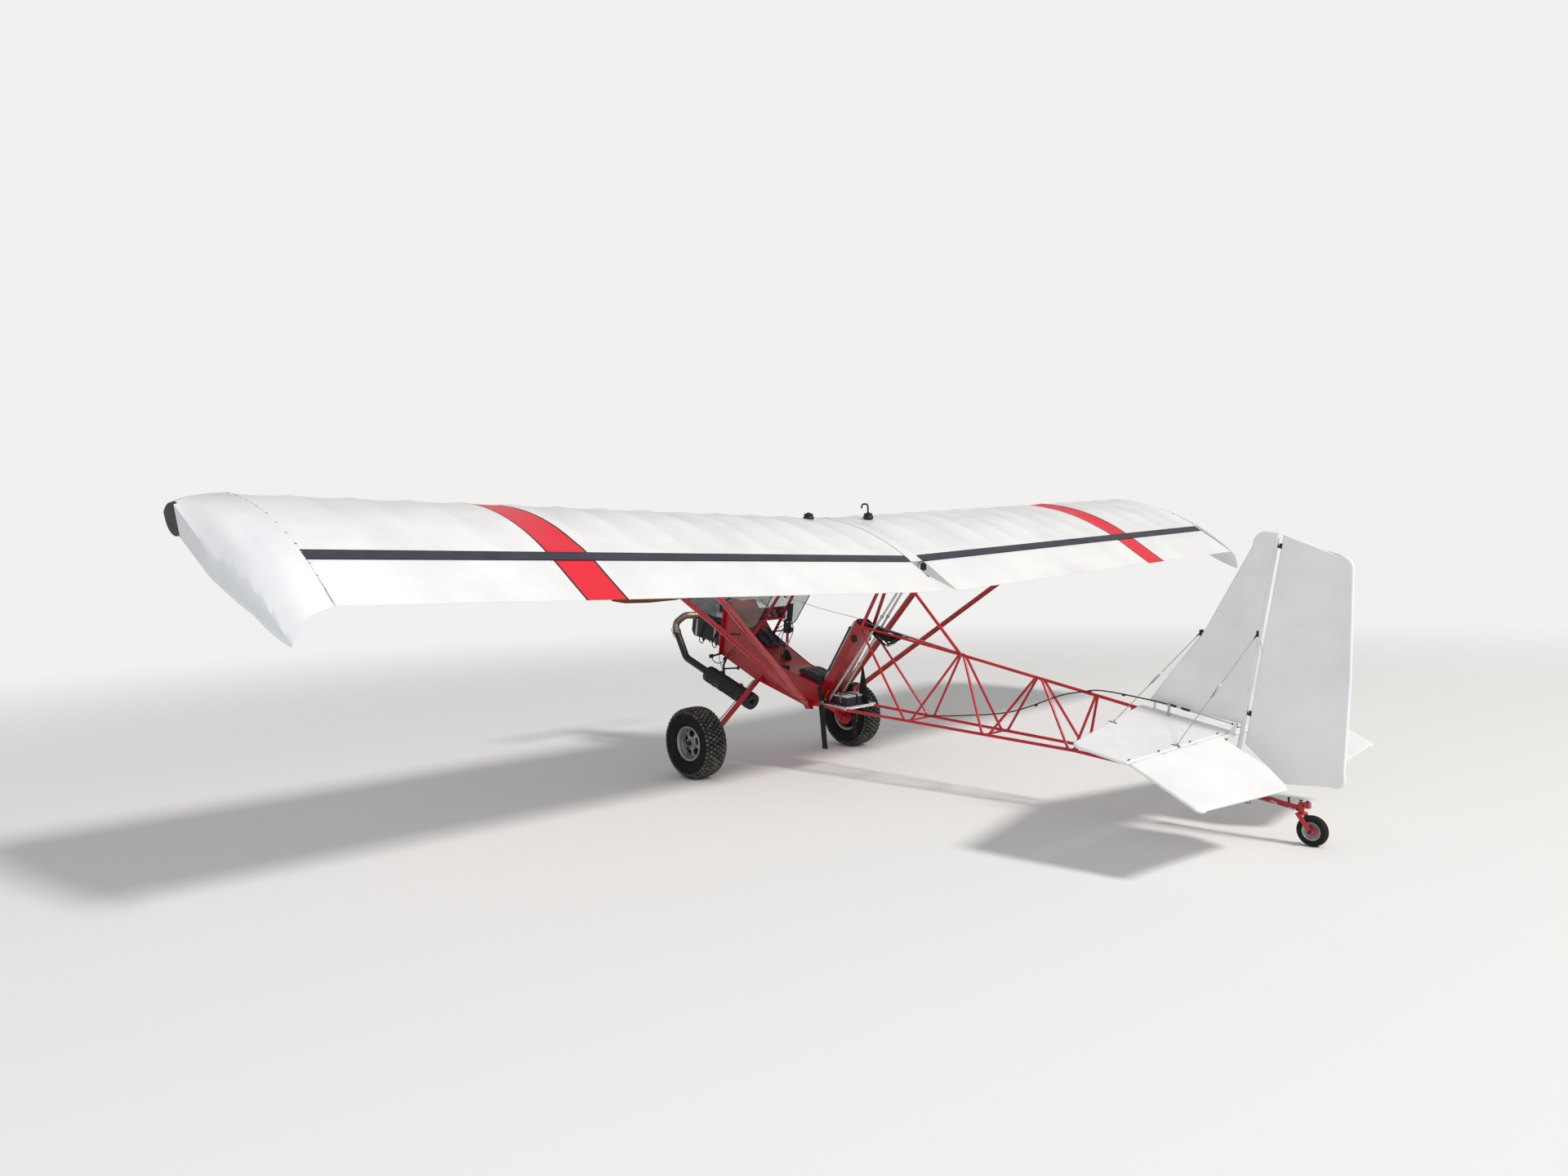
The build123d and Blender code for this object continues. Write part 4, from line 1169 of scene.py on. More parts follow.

# Hull: rolled edges, belly seam, a black plate as the painted shade of a slot, and rows of rivets

HULL_HALF = 140.0
HULL_KEEL = [(-446, 766), (-90, 606), (405, 455), (545, 457)]
HULL_TOP = [(-369, 1160), (-185, 920), (2, 810), (198, 701), (327, 659), (548, 592)]
BELLY_SEAM = [(-420, 790), (-84, 640), (405, 482)]
STIFFENERS = [[(-338, 729), (-226, 948)], [(-90, 612), (-92, 860)]]
RIVET_PITCH = 46.0
RIVET_ROWS = [
    # path, how far above it
    (HULL_TOP, -16.0),
    ([(-446, 765), *HULL_KEEL[1:3]], 16.0),
    ([(-420, 803), (-84, 653)], 0.0),
]


def side_line(path, x, r, sides=10):
    """Round line at x through places (y, z)."""
    return tube_along([at(x, y, z) for y, z in path], r * MM, sides)


def between(a, b, pitch):
    """Places from a to b, about a pitch apart, leaving half a pitch at each end."""
    count = max(1, round((b - a).length / pitch))
    return [a.lerp(b, (k + 0.5) / count) for k in range(count)]


edges = [side_line(path, HULL_HALF - 2.4, 4.0) for path in (HULL_KEEL, HULL_TOP)]
edges.append(side_line(BELLY_SEAM, HULL_HALF - 0.6, 2.2))
edges += [side_line(path, HULL_HALF - 0.4, 3.0, 8) for path in STIFFENERS]
piece("hull_edges", edges, red_enamel, paired=True)
# A thin black plate on each side between the struts: painted shade where a slot shows dark.
piece("hull_slot_shade", box(139.6, 140.8, -338, -228, 912, 926), moulded_black, bevel=0.3, paired=True)
rivets = []
for path, lift in RIVET_ROWS:
    for (ya, za), (yb, zb) in zip(path, path[1:]):
        places = between(at(HULL_HALF, ya, za + lift), at(HULL_HALF, yb, zb + lift), RIVET_PITCH)
        rivets += [(place, LEFT, UP) for place in places]
studs("hull_rivets", both(rivets), 10, 3.4, 1.8, 2.4, red_enamel)

# Fittings in red steel: strut ends, gear leg roots, weld beads on the truss

STRUT_ENDS = [
    # lug end, foot of the fairing, wing end, chord, thickness
    ((140, 442, 458), (250, 438, 541), (1745, 381, 1666), 64.0, 29.0),
    ((140, 456, 439), (235, 497, 500.7), (1745, 1148, 1480), 56.0, 25.0),
]
FORK_PLATE = ((-15, -2), (15, -2), (15, 2), (-15, 2))
LEG_CUFF = ((26, 15), (-26, 15), (-26, -15), (26, -15))
LEG_TOP, LEG_FOOT = at(120, -36, 634), at(642, -4, 262)


def strut_axes(start, end):
    """Directions along a strut, aft across it and out of its face."""
    run = (end - start).normalized()
    aft = (Vector(AFT) - run * run.y).normalized()
    return run, aft, run.cross(aft)


def bolt_pair(place, out, aft, half):
    """Head and nut of a bolt, this far from its middle."""
    return [(place + out * half * way * MM, tuple(out * way), tuple(aft)) for way in (1, -1)]


def block(places, aft, out, corners):
    """Solid between two places with corners (aft, out) round each, in millimetres."""
    return skinned([[p + aft * a * MM + out * o * MM for a, o in corners] for p in places])


fittings, strut_bolts, trims = [], [], []
for foot, fairing, top, chord, thick in STRUT_ENDS:
    foot, fairing, top = at(*foot), at(*fairing), at(*top)
    run, aft, out = strut_axes(fairing, top)
    sleeve = [(-26, 22, 11), (-6, 27, 14)]
    sleeve += [(reach, chord / 2 + proud, thick / 2 + proud) for reach, proud in ((10, 1.2), (46, 1))]
    rings = []
    for reach, wide, deep in sleeve:
        centre = fairing + run * reach * MM
        rings.append([centre + (aft * math.cos(t) * wide + out * math.sin(t) * deep) * MM for t in turns(28)])
    fittings.append(skinned(rings))
    foot_run = (fairing - foot).normalized()
    fork = [foot + foot_run * s * MM for s in (6, 44)]
    fittings += [block(fork, aft, out, [(a, o + off) for a, o in FORK_PLATE]) for off in (-11, 11)]
    strut_bolts += bolt_pair(foot + foot_run * 22 * MM, out, aft, 15)
    strut_bolts += bolt_pair(fairing + run * 24 * MM, out, aft, thick / 2 + 2)
    # A bright bead of paint runs along each strut's rounded nose and tail.
    line = [fairing + run * 50 * MM, top - run * 60 * MM]
    for edge in (0.6 - chord / 2, chord / 2 - 0.6):
        trims.append(tube_along([p + aft * edge * MM for p in line], 2.0 * MM, 8))
run, aft, out = strut_axes(LEG_TOP, LEG_FOOT)
leg = [LEG_TOP + run * 30 * MM, LEG_FOOT - run * 6 * MM]
fittings += [tube_along([p + aft * off * MM for p in leg], 12.0 * MM, 16) for off in (-12.5, 12.5)]
fittings.append(block([leg[0] + run * s * MM for s in (-14, 16)], aft, out, LEG_CUFF))
for off in (-15, 15):
    for step in (-4, 10):
        strut_bolts += bolt_pair(leg[0] + run * step * MM + aft * off * MM, out, aft, 16)
fittings.append(box(639, 661, -26, 20, 210, 284))
for y, z in ((-16, 222), (12, 222), (-16, 276), (12, 276)):
    strut_bolts += bolt_pair(at(650, y, z), Vector(LEFT), Vector(AFT), 13)
piece("red_fittings", fittings, red_enamel, bevel=1.2, paired=True)
piece("strut_edges", trims, red_enamel, paired=True)
studs("strut_bolts", both(strut_bolts), 6, 6.5, 6.0, 5.0, stainless)

TOP_FRONT, TOP_REAR = at(0, 1655, 851), at(0, 2850, 618)
LOW_FRONT, LOW_BEND = at(150, 530, 466), at(80, 2502, 351)
SIDE_TUBES = [(1645, 1330), (1680, 1873), (2201, 1917), (2245, 2458), (2600, 2494)]
CROSS_AT = (548, 1308, 1895, 2476)
LONE_BEADS = [
    # place, the tube's other end, how far out the bead stands
    ((31, 3290, 250), (48, 3345, 540), 6),
    ((52, 2870, 304), (11, 2826, 623), 9),
    ((58, 850, 1012), (10, 1675, 849), 22),
    ((10, 1675, 849), (58, 850, 1012), 14),
]


def on_line(start, end, y):
    """Place on a tube's middle line at a distance aft."""
    share = (y + AXLE_Y) * MM - start.y
    return start.lerp(end, share / (end.y - start.y))


def bead(place, towards, r, reach):
    """Weld bead round a tube of radius r, where it leaves the tube it stands on."""
    swell = [(-3, r), (0, r + 2.4), (2.5, r + 2.8), (5, r + 1.4), (7, r - 0.5)]
    return lathe(place, (towards - place).normalized(), [(reach + s, wide) for s, wide in swell], 14)


beads = []
for top_y, low_y in SIDE_TUBES:
    top = on_line(TOP_FRONT, TOP_REAR, top_y) + Vector((11, 0, 0)) * MM
    low = on_line(LOW_FRONT, LOW_BEND, low_y)
    beads += [bead(top, low, 8, 3), bead(low, top, 8, 9)]
for y in CROSS_AT:
    low = on_line(LOW_FRONT, LOW_BEND, y)
    beads.append(bead(low, Vector((0, low.y, low.z)), 7, 9))
beads += [bead(at(*place), at(*towards), 8, reach) for place, towards, reach in LONE_BEADS]
piece("weld_beads", beads, red_enamel, paired=True)

# Axle caps, brake levers and linings in brass, and brake cables

CAP = [(0, 17), (3, 17.5), (14, 15), (22, 9), (23, 0.1)]
BRAKE_LEVER = [(693, 699, -58, -44, 236, 322), (686, 703, -62, -18, 222, 246), (688, 703, 20, 50, 262, 298)]
BRAKE_CABLE = [(696, -51, 318), (676, -50, 336), (560, -34, 352), (400, -36, 462), (200, -42, 604)]
left_and_right("axle_cap", turned((846, 0, AXLE_Z), (870, 0, AXLE_Z), CAP), moulded_black)
left_and_right("brake_lever", [box(*row) for row in BRAKE_LEVER], brass_plate, bevel=1.5)
left_and_right("brake_shoes", collar((712, 0, AXLE_Z), (722, 0, AXLE_Z), 60, 68, 48), brass_plate)
for side, name in SIDES:
    cable = [(x * side, y, z) for x, y, z in BRAKE_CABLE]
    piece(f"brake_cable_{name}", hose(cable, 3.2), moulded_black)

# Tail: turnbuckles, tangs, hinge straps, control cable and rod, and their bracket

TAIL_WIRES = [
    # place on the fin (y, z), place on the stabiliser (x, y)
    ((3229, 1050), (500, 2985)),
    ((3535, 1055), (560, 3362)),
]
TURNBUCKLE = [(-52, 2.4), (-50, 3.2), (-34, 3.2), (-32, 5.2), (32, 5.2), (34, 3.2), (50, 3.2), (52, 2.4)]
WIRE_FOOT = ((-9, -22), (9, -22), (9, 22), (-9, 22))
STAB_NORMAL = (0, 0.19, 0.98)
STAB_FALL = 0.194
HINGE_X = (118, 420, 740, 1022)
RUDDER_HINGE_HEIGHTS = (640.0, 1500.0)
silver, dark, stab_bolts, hinge_bolts = [], [], [], []
for (fin_y, fin_z), (x, y) in TAIL_WIRES:
    top = stabiliser_top(y)
    start, end = at(10, fin_y, fin_z), at(x, y, top + 9)
    run = (end - start).normalized()
    middle = start.lerp(end, 0.52)
    silver.append(lathe(middle, run, TURNBUCKLE, 10))
    for near, reach, shapes in ((start, 21, dark), (end, -17, silver)):
        spot = near + run * reach * MM
        shapes.append(tube_along([near, spot, spot.lerp(middle, 0.04)], [r * MM for r in (4.2, 3.8, 2.0)], 8))
    dark.append(box(9.6, 12.2, fin_y - 6, fin_y + 6, fin_z - 16, fin_z + 15))
    hinge_bolts += [(at(13.5, fin_y, fin_z + up), LEFT, UP) for up in (8, -8)]
    foot = [[at(x + a, y + b, top + h - b * STAB_FALL) for a, b in WIRE_FOOT] for h in (10, 12.6)]
    silver.append(skinned(foot))
    stab_bolts.append((at(x, y + 13, top + 11), STAB_NORMAL, LEFT))
for x in HINGE_X:
    hinge_bolts.append((at(x, 3366, stabiliser_top(3366) + 11.5), STAB_NORMAL, LEFT))
    stab_bolts.append((at(x + 16, 3370, stabiliser_top(3370) + 11), STAB_NORMAL, LEFT))
piece("turnbuckles", silver, stainless, bevel=0.4, paired=True)
piece("fin_tangs", dark, moulded_black, bevel=0.4, paired=True)
studs("tail_bolts_dark", both(hinge_bolts), 6, 5.2, 4.8, 3.6, moulded_black)
studs("tail_bolts_bright", both(stab_bolts), 6, 4.6, 4.2, 3.6, stainless)
straps = [collar((x - 9, *ELEVATOR_HINGE), (x + 9, *ELEVATOR_HINGE), 10.5, 12.6) for x in HINGE_X]
piece("hinge_straps", straps, white_enamel, paired=True)
rudder_hinges = []
for height in RUDDER_HINGE_HEIGHTS:
    ends = [(0, *beside_hinge(0, height + step)) for step in (-12, 12)]
    y, z = beside_hinge(19, height)
    rudder_hinges += [collar(*ends, 10.6, 12.2), box(-5, 5, y - 5, y + 4, z - 8, z + 8)]
piece("rudder_hinges", rudder_hinges, moulded_black)
foot_strip = slab([(2942, 617), (3400, 529), (3400, 536), (2942, 624)], -14, 14)
piece("fin_foot_strip", foot_strip, white_enamel, bevel=1.0)

CABLE_ROUTE = [
    (-60, 1308, 432),
    (-42, 1560, 455),
    (-15, 2000, 520),
    (0, 2350, 645),
    (16, 2510, 682),
    (34, 2660, 702),
    (35, 2951, 672),
    (35, 3062, 655),
]
ROD_END = [(0, 4), (4, 6), (12, 6), (14, 4), (20, 8), (30, 8)]
CABLE_CLIPS = [
    ((-9, 2180, 574), (-9, 2196, 581)),
    ((20, 2560, 690), (22, 2576, 692)),
    ((35, 2780, 689), (35, 2796, 688)),
]
piece("control_sheath", hose(CABLE_ROUTE, 4.0, 10, 5), sheath_plastic, replaces=["elevator_control"])
couplings = [
    rod((35, 3068, 654), (35, 3100, 647.5), 6.2),
    rod((35, 3128, 641.8), (35, 3176, 631.8), 6.6),
    turned((35, 3404, 584), (35, 3434, 578), ROD_END, 14),
]
piece("control_couplings", couplings, moulded_black)
piece("control_rod", rod((35, 3062, 655), (35, 3408, 583), 3.6), pale_rod)
bracket = [rod((35, 3060, 652), (35, 3050, 596), 6.8, 16)]
bracket += [box(26, 44, 3040, 3062, 592, 599), box(26, 44, 3051, 3069, 646, 664)]
piece("control_bracket", bracket, sheet_alloy, bevel=1.0)
piece("cable_clips", [rod(*ends, 7) for ends in CABLE_CLIPS], moulded_black)

# Tail wheel: smooth tyre, grey hub with a red centre, red steering bracket, stay rods and their fittings

TAIL_CENTRE = at(0, 3796, 77.5)
TAIL_TREAD = [
    # across, radius
    (-19, 46),
    (-23.6, 53),
    (-25, 61),
    (-22, 69.5),
    (-15, 74.2),
    (-8, 76.8),
    (-6.6, 76.9),
    (-6, 74.9),
    (-5.2, 74.9),
    (-4.6, 77.2),
]
TAIL_HUB = [(-22, 5.4), (-22, 13), (-8, 15), (-7, 30), (-17, 40), (-19.5, 45), (-19, 48), (-15, 49)]
TAIL_STAY = [(13, 3392, 262), (24, 3470, 246), (29, 3585, 212), (25, 3712, 178)]
STAY_ENDS = [
    # ends, radius
    ((18, 3428, 256), (23, 3456, 250), 5),
    ((29, 3600, 208), (28, 3634, 198), 5),
    ((26, 3690, 184), (25, 3714, 178), 5.4),
]
tread, hub = back_to_back(TAIL_TREAD), back_to_back(TAIL_HUB)
piece("tail_tyre_cover", spun(TAIL_CENTRE, tread, 72), tyre_rubber, "tail_wheel", replaces=["tail_tyre"])
piece("tail_hub", spun(TAIL_CENTRE, hub, 60), wheel_silver, "tail_wheel", replaces=["tail_rim"])
hub_centre = spun(TAIL_CENTRE, [(9, 15.5), (9, 27), (12, 26), (14, 15.5)], 40)
left_and_right("tail_hub_centre", hub_centre, red_enamel, "tail_wheel")
cheek = [(3760, 188), (3786, 188), (3786, 213), (3752, 213), (3752, 209.5), (3760, 209.5)]
bracket = [slab(cheek, 12, 15), slab(cheek, -15, -12)]
bracket += [box(-15, 15, 3749, 3786, 213, 215.5), box(-15, 15, 3783, 3786, 188, 213)]
piece("steering_bracket", bracket, red_enamel, "tail_fork", bevel=0.6)
fork_bolts = [(at(0, 3741, 219), UP, LEFT), (at(0, 3773, 218), UP, LEFT)]
fork_bolts += [(at(37.5 * s, 3796, 77.5), (s, 0, 0), UP) for s in (-1, 1)]
studs("fork_nuts", fork_bolts, 6, 8.6, 8.2, 6.0, moulded_black, "tail_fork")
piece("tail_stays", hose(TAIL_STAY, 2.2, 8), moulded_black, paired=True)
piece("stay_fittings", [rod(*row) for row in STAY_ENDS], stainless, paired=True)
lugs = [box(-5, 5, 3676, 3684, 200, 232), box(-17, 17, 3722, 3732, 172, 182)]
piece("tail_lugs", lugs, moulded_black, bevel=0.8)
piece("tail_eye_ring", collar((-3.4, 3470, 184), (3.4, 3470, 184), 8.2, 13.5), stainless)

# Engine, drawn level and leaned back: finned cylinders, carburettors with filters, straps, leads, bolts

CYLINDERS_Y = (-635.0, -785.0)
FIN_PLACES = [964.0 + 6.4 * k for k in range(8)]
FIN_THICK = 1.8
SHAFT = (0, -1050.0, 1105)
FAN_Z = 1065
INTAKE_Z = 985
FORWARD = tuple(leaned(0, -1, 0) - leaned(0, 0, 0))
PLUG_CAP = [(0, 9), (6, 9), (7, 11), (26, 12), (34, 10), (40, 6)]
CARBURETTOR = [(0, 26), (8, 26), (9, 19), (40, 19), (42, 24), (90, 24), (97, 22)]
FLOAT_BOWL = [(0, 15), (4, 21), (34, 22), (36, 26), (50, 26), (52, 21), (84, 19), (92, 12)]
FILTER_RADII = (36.0, 39.5)
FUEL_LINE = [(-92, -700, 1000), (-112, -600, 1020), (-118, -520, 1000), (-112, -470, 940), (-104, -452, 880)]
CHOKE = [(-125, -785, 1050), (-118, -700, 1085), (-108, -600, 1090), (-100, -500, 1060), (-96, -453, 1010)]
THROTTLE = [(-125, -635, 1050), (-112, -580, 1096), (-90, -500, 1100), (-80, -453, 1060)]
BREATHER = [(96, -452, 840), (118, -440, 790), (110, -430, 742), (60, -400, 742)]
ENGINE_LINES = ((4.5, FUEL_LINE), (2.8, CHOKE), (2.8, THROTTLE), (3.5, BREATHER))


def rounded_square(half, corner, y, z):
    """Ring of places round a level square with rounded corners."""
    flat = half - corner
    ring = []
    for k, (sx, sy) in enumerate(((1, 1), (-1, 1), (-1, -1), (1, -1))):
        for step in range(5):
            turn = math.pi / 2 * (k + step / 4)
            across, back = corner * math.cos(turn), corner * math.sin(turn)
            ring.append(leaned(flat * sx + across, y + flat * sy + back, z))
    return ring


def on_circle(x, z, r, turn):
    """Place (x, z) on a circle that faces forward."""
    return x + r * math.cos(turn), z + r * math.sin(turn)


finned, plugs, carbs, filters, bowls = [], [], [], [], []
for y in CYLINDERS_Y:
    finned.append(turned((0, y, 962), (0, y, 1012), [(0, 41), (50, 41)], 28, leaned))
    finned += [skinned([rounded_square(61.5, 14, y, z + h) for h in (0, FIN_THICK)]) for z in FIN_PLACES]
    for x in (-26, 26):
        plugs.append(turned((x, y, 816), (x, y, 776), PLUG_CAP, 16, leaned))
        lead = [(x, y, 780), (x * 1.6, y + 8, 762), (x * 3.3, y + 20, 790)]
        lead += [(x * 3.55, y + 40, 860), (x * 3.5, y + 90, 960), (x * 3.0, -548, 1010)]
        plugs.append(hose(lead, 3.6, 8, 5, leaned))
    carbs.append(turned((-62.5, y, INTAKE_Z), (-160, y, INTAKE_Z), CARBURETTOR, 24, leaned))
    carbs.append(turned((-125, y, 940), (-125, y, 1032), FLOAT_BOWL, 20, leaned))
    pleats = []
    for x in (-162, -230):
        radii = [FILTER_RADII[k % 2] for k in range(72)]
        pleats.append([leaned(x, *on_circle(y, INTAKE_Z, r, t)) for r, t in zip(radii, turns(72))])
    filters.append(skinned(pleats))
    bowls.append(turned((-125, y, 1030), (-125, y, 1052), [(0, 6), (14, 6), (22, 3)], 12, leaned))
    bowls.append(turned((-228, y, INTAKE_Z), (-236, y, INTAKE_Z), [(0, 40), (3, 40), (8, 34)], 32, leaned))
    bowls.append(collar((-150, y, INTAKE_Z), (-158, y, INTAKE_Z), 24, 26.5, 24, leaned))
piece("cylinder_fins", finned, cast_alloy, replaces=["cylinders"])
piece("plug_caps", plugs, moulded_black)
piece("carburettor_bodies", carbs, cast_alloy, replaces=["carburettors"])
piece("air_filters", filters, filter_gauze)
piece("filter_caps", bowls, sheet_alloy)
bands = [
    box(85, 87.5, -612, -590, 810, 964, leaned),
    box(-86, 86, -612, -590, 812, 815, leaned),
    box(85, 87, -820, -800, 812, 964, leaned),
    collar((0, -520, FAN_Z), (0, -500, FAN_Z), 97, 100.5, 48, leaned),
    turned((96, -575, 1040), (96, -480, 1040), [(0, 20), (4, 24), (88, 24), (92, 20)], 24, leaned),
]
piece("engine_straps", bands, sheet_alloy, bevel=0.5)
ribs = [box(-102, 102, -858, -562, z, z + 4, leaned) for z in range(1016, 1100, 20)]
piece("crankcase_ribs", ribs, cast_alloy)
grille = []
for t in turns(24):
    (xa, za), (xb, zb) = on_circle(0, FAN_Z, 40, t), on_circle(0, FAN_Z, 92, t + 0.25)
    grille.append(rod((xa, -478.5, za), (xb, -478.5, zb), 1.8, 6, leaned))
grille.append(collar((0, -480.5, FAN_Z), (0, -477, FAN_Z), 88, 97, 48, leaned))
grille.append(turned((0, -481, FAN_Z), (0, -474, FAN_Z), [(0, 42), (4, 42), (7, 34)], 32, leaned))
piece("fan_grille", grille, stove_black)
case_bolts = []
for x, z in [on_circle(0, 0, 62, t) for t in turns(10)]:
    # The upper bolts are hidden behind the gearbox.
    if z < 30:
        case_bolts.append((leaned(x, -936, FAN_Z + z), FORWARD, LEFT))
for y in (-840, -780, -710, -640, -580):
    for side in (-1, 1):
        case_bolts += [(leaned(x * side, y, z), (side, 0, 0), AFT) for x, z in ((94, 1014), (101.5, 1100))]
for x in (-140, -60, 60, 140):
    case_bolts += [(leaned(x, -451.5, z), FORWARD, LEFT) for z in (790, 1140)]
studs("engine_bolts", case_bolts, 6, 6.0, 5.6, 4.5, stainless)
hub_bolts = []
for x, z in [on_circle(0, SHAFT[2], 32, t) for t in turns(6)]:
    hub_bolts.append((leaned(x, SHAFT[1] - 0.2, z), FORWARD, LEFT))
studs("propeller_bolts", hub_bolts, 6, 6.0, 5.6, 3.0, stainless, "propeller")
crush_plate = collar((0, SHAFT[1] - 0.6, SHAFT[2]), (0, SHAFT[1] + 3, SHAFT[2]), 12, 48, 48, leaned)
piece("propeller_plate", crush_plate, sheet_alloy, "propeller", bevel=0.6)
piece("engine_lines", [hose(line, r, 8, 5, leaned) for r, line in ENGINE_LINES], moulded_black)

# Exhaust: collars and springs at the joints, muffler with bands and end disc, hangers; cables, pedal rubbers

KNEE, BEND, PIPE_FOOT = at(215, -760, 1050), at(262, -835, 985), at(250, -720, 735)
PORT = at(95, -700, 1045)
MUFFLER_ENDS = ((215, -505, 622), (215, -40, 447))
BALL_JOINT = [(-20, 26.3), (-18, 29), (-8, 29), (0, 32), (8, 29), (18, 29), (20, 26.3)]
NECK_RING = [(-9, 26.3), (-8, 31), (8, 31), (9, 26.3)]
SHELL = [
    # share of the muffler's length drawn at 496.8 mm, radius: front, middle seam, rear
    *[(-2, 27), (0, 48), (6, 57), (16, 60.6), (30, 60.6), (33, 62.4), (37, 62.4), (40, 60.6)],
    *[(170, 60.6), (172, 62), (184, 62), (186, 60.6)],
    *[(410, 60.6), (450, 60.6), (458, 60.2), (461, 62.6), (467, 62.6)],
    *[(468, 58), (466, 55), (474, 26), (472, 20)],
]
MUFFLER_BAND = [(0, 60.6), (1, 62.6), (17, 62.6), (18, 60.6)]
LONG_LOOP = [
    *[(222, -451, 759), (232, -440, 730), (210, -415, 706)],
    *[(176, -395, 712), (150, -380, 740), (141, -370, 768)],
]
FRONT_LOOP = [(160, -447, 766), (172, -430, 728), (198, -392, 700), (206, -352, 640)]
REAR_LOOP = [(141, -330, 800), (176, -330, 770), (190, -350, 720), (188, -366, 690)]
SIDE_CABLES = ((3.2, LONG_LOOP), (2.6, FRONT_LOOP), (2.4, REAR_LOOP))


def spring(start, end, r, wire, coils):
    """Coil spring between two places in metres, with straight ends."""
    run = end - start
    side = run.orthogonal().normalized()
    other = run.normalized().cross(side)
    path = [start]
    for k in range(coils * 10 + 1):
        t = 2 * math.pi * k / 10
        middle = start + run * (0.12 + 0.76 * k / (coils * 10))
        path.append(middle + (side * math.cos(t) + other * math.sin(t)) * r * MM)
    return tube_along(path + [end], wire * MM, 6)


down = (PIPE_FOOT - BEND).normalized()
across = down.orthogonal().normalized()
joint = BEND + down * 62 * MM
neck = KNEE.lerp(PORT, 0.62)
collars = [lathe(joint, down, BALL_JOINT, 28), lathe(neck, (PORT - KNEE).normalized(), NECK_RING, 28)]
springs = []
for t in turns(3):
    out = across * math.cos(t + 0.6) + down.cross(across) * math.sin(t + 0.6)
    ends = [joint + down * reach * MM for reach in (-34, 34)]
    springs.append(spring(*[end + out * 34 * MM for end in ends], 4.2, 1.2, 9))
    collars += [tube_along([end + out * s * MM for s in (25, 37)], 3 * MM, 8) for end in ends]
piece("exhaust_collars", collars, bare_pipe)
piece("exhaust_springs", springs, stainless)
front, rear = [at(*end) for end in MUFFLER_ENDS]
run = (rear - front).normalized()
long = (rear - front).length / MM
shell = [(s * long / 496.8, r) for s, r in SHELL] + [(long - 1.5, 18)]
piece("muffler_shell", lathe(front, run, shell, 48), stove_black)
straps = []
for reach in (92, 318):
    spot = front + run * reach * MM
    straps.append(lathe(spot, run, MUFFLER_BAND, 48))
    ear = spot + run * 9 * MM + Vector((-0.5, 0.2, 0.84)).normalized() * 66 * MM
    straps.append(tube_along([ear - run * 12 * MM, ear + run * 12 * MM], 5 * MM, 8))
piece("muffler_straps", straps, stove_black)
end_bolt = [(rear + run * 2 * MM + Vector((0.026, 0, 0.02)), tuple(run), LEFT)]
studs("muffler_bolt", end_bolt, 6, 6.5, 6.0, 6.0, stainless)
hanger_bolts = [(at(142, -262, 672), LEFT, AFT), (at(142, -400, 732), LEFT, AFT)]
studs("hanger_bolts", hanger_bolts, 6, 7.0, 6.5, 5.0, moulded_black)
rubbers = [
    turned((140, -400, 732), (156, -400, 732), [(0, 15), (6, 15), (8, 12), (16, 12)], 20),
    turned((140, -262, 672), (152, -262, 672), [(0, 13), (6, 13), (12, 9)], 20),
]
piece("hanger_rubbers", rubbers, moulded_black)
piece("side_cables", [hose(line, r) for r, line in SIDE_CABLES], moulded_black)
ribbing = [(0, 12)] + [(3 + 3 * k, 15.2 if k % 2 else 13.4) for k in range(7)] + [(24, 9)]
piece("pedal_rubbers", turned((222, -451, 759), (246, -455, 756), ribbing), moulded_black, paired=True)

# Windscreen edging, in black rubber along the sheet's rear edges

EDGING = [
    (-366, 1156),
    (-230, 1068),
    (-120, 996),
    (-94, 981),
    (-60, 975),
    (-24, 983),
    (12, 1006),
    (38, 1040),
    (120, 1144),
    (240, 1299),
    (360, 1453),
    (438, 1553),
]
edging = tube_along(smooth_line([at(195.4, y, z) for y, z in EDGING], 3), 3.4 * MM, 10)
piece("windscreen_edging", edging, moulded_black, paired=True)
sill = [at(197.6, y, z + 12) for y, z in (EDGING[0], EDGING[2])]
screws = [(sill[0].lerp(sill[1], share), LEFT, AFT) for share in np.linspace(0.1, 0.9, 7)]
studs("windscreen_screws", both(screws), 10, 5.0, 3.0, 2.4, stainless)

# Cockpit: dials with generic marks, switches, control stick with grip and levers

DIALS = [
    # x, z, radius
    (-78, 1078, 27),
    (-4, 1079, 27),
    (62, 1081, 22),
]
PLATES = ((-112, 1056), (-40, 1060), (30, 1060), (112, 1100), (112, 1040))
SWITCH = [(0, 6), (3, 6), (4, 2.6), (14, 3.4), (17, 2)]
KEY_SWITCH = [(0, 9), (4, 9), (5, 5), (12, 5), (13, 11), (19, 10)]
BOOT = [
    *[(0, 40), (4, 41), (10, 34), (16, 35), (22, 28), (28, 29)],
    *[(34, 22), (40, 23), (47, 16), (56, 15), (60, 11)],
]
GRIP_ENDS = (0, 138, 1018), (0, 157, 1143)
GRIP_WIDE, GRIP_DEEP = 19.0, 23.5
TRIGGER = [(15, 146, 1004), (24, 176, 1030), (24, 188, 1080), (22, 184, 1128)]
CHOKE_LEVER = [(-17, 120, 952), (-22, 70, 950), (-20, 10, 942), (-16, -28, 938)]
STICK_CABLES = [
    # radius, route
    (2.6, [(16, 96, 990), (34, 40, 960), (44, -40, 930), (58, -130, 930)]),
    (2.6, [(16, 92, 968), (40, 50, 900), (60, -20, 862), (92, -60, 868)]),
    (2.8, [(12, 150, 1020), (44, 130, 960), (40, 96, 880), (26, 74, 800), (20, 70, 772)]),
    (2.8, [(-12, 150, 1020), (-44, 132, 950), (-42, 92, 870), (-24, 72, 790), (-22, 70, 768)]),
]

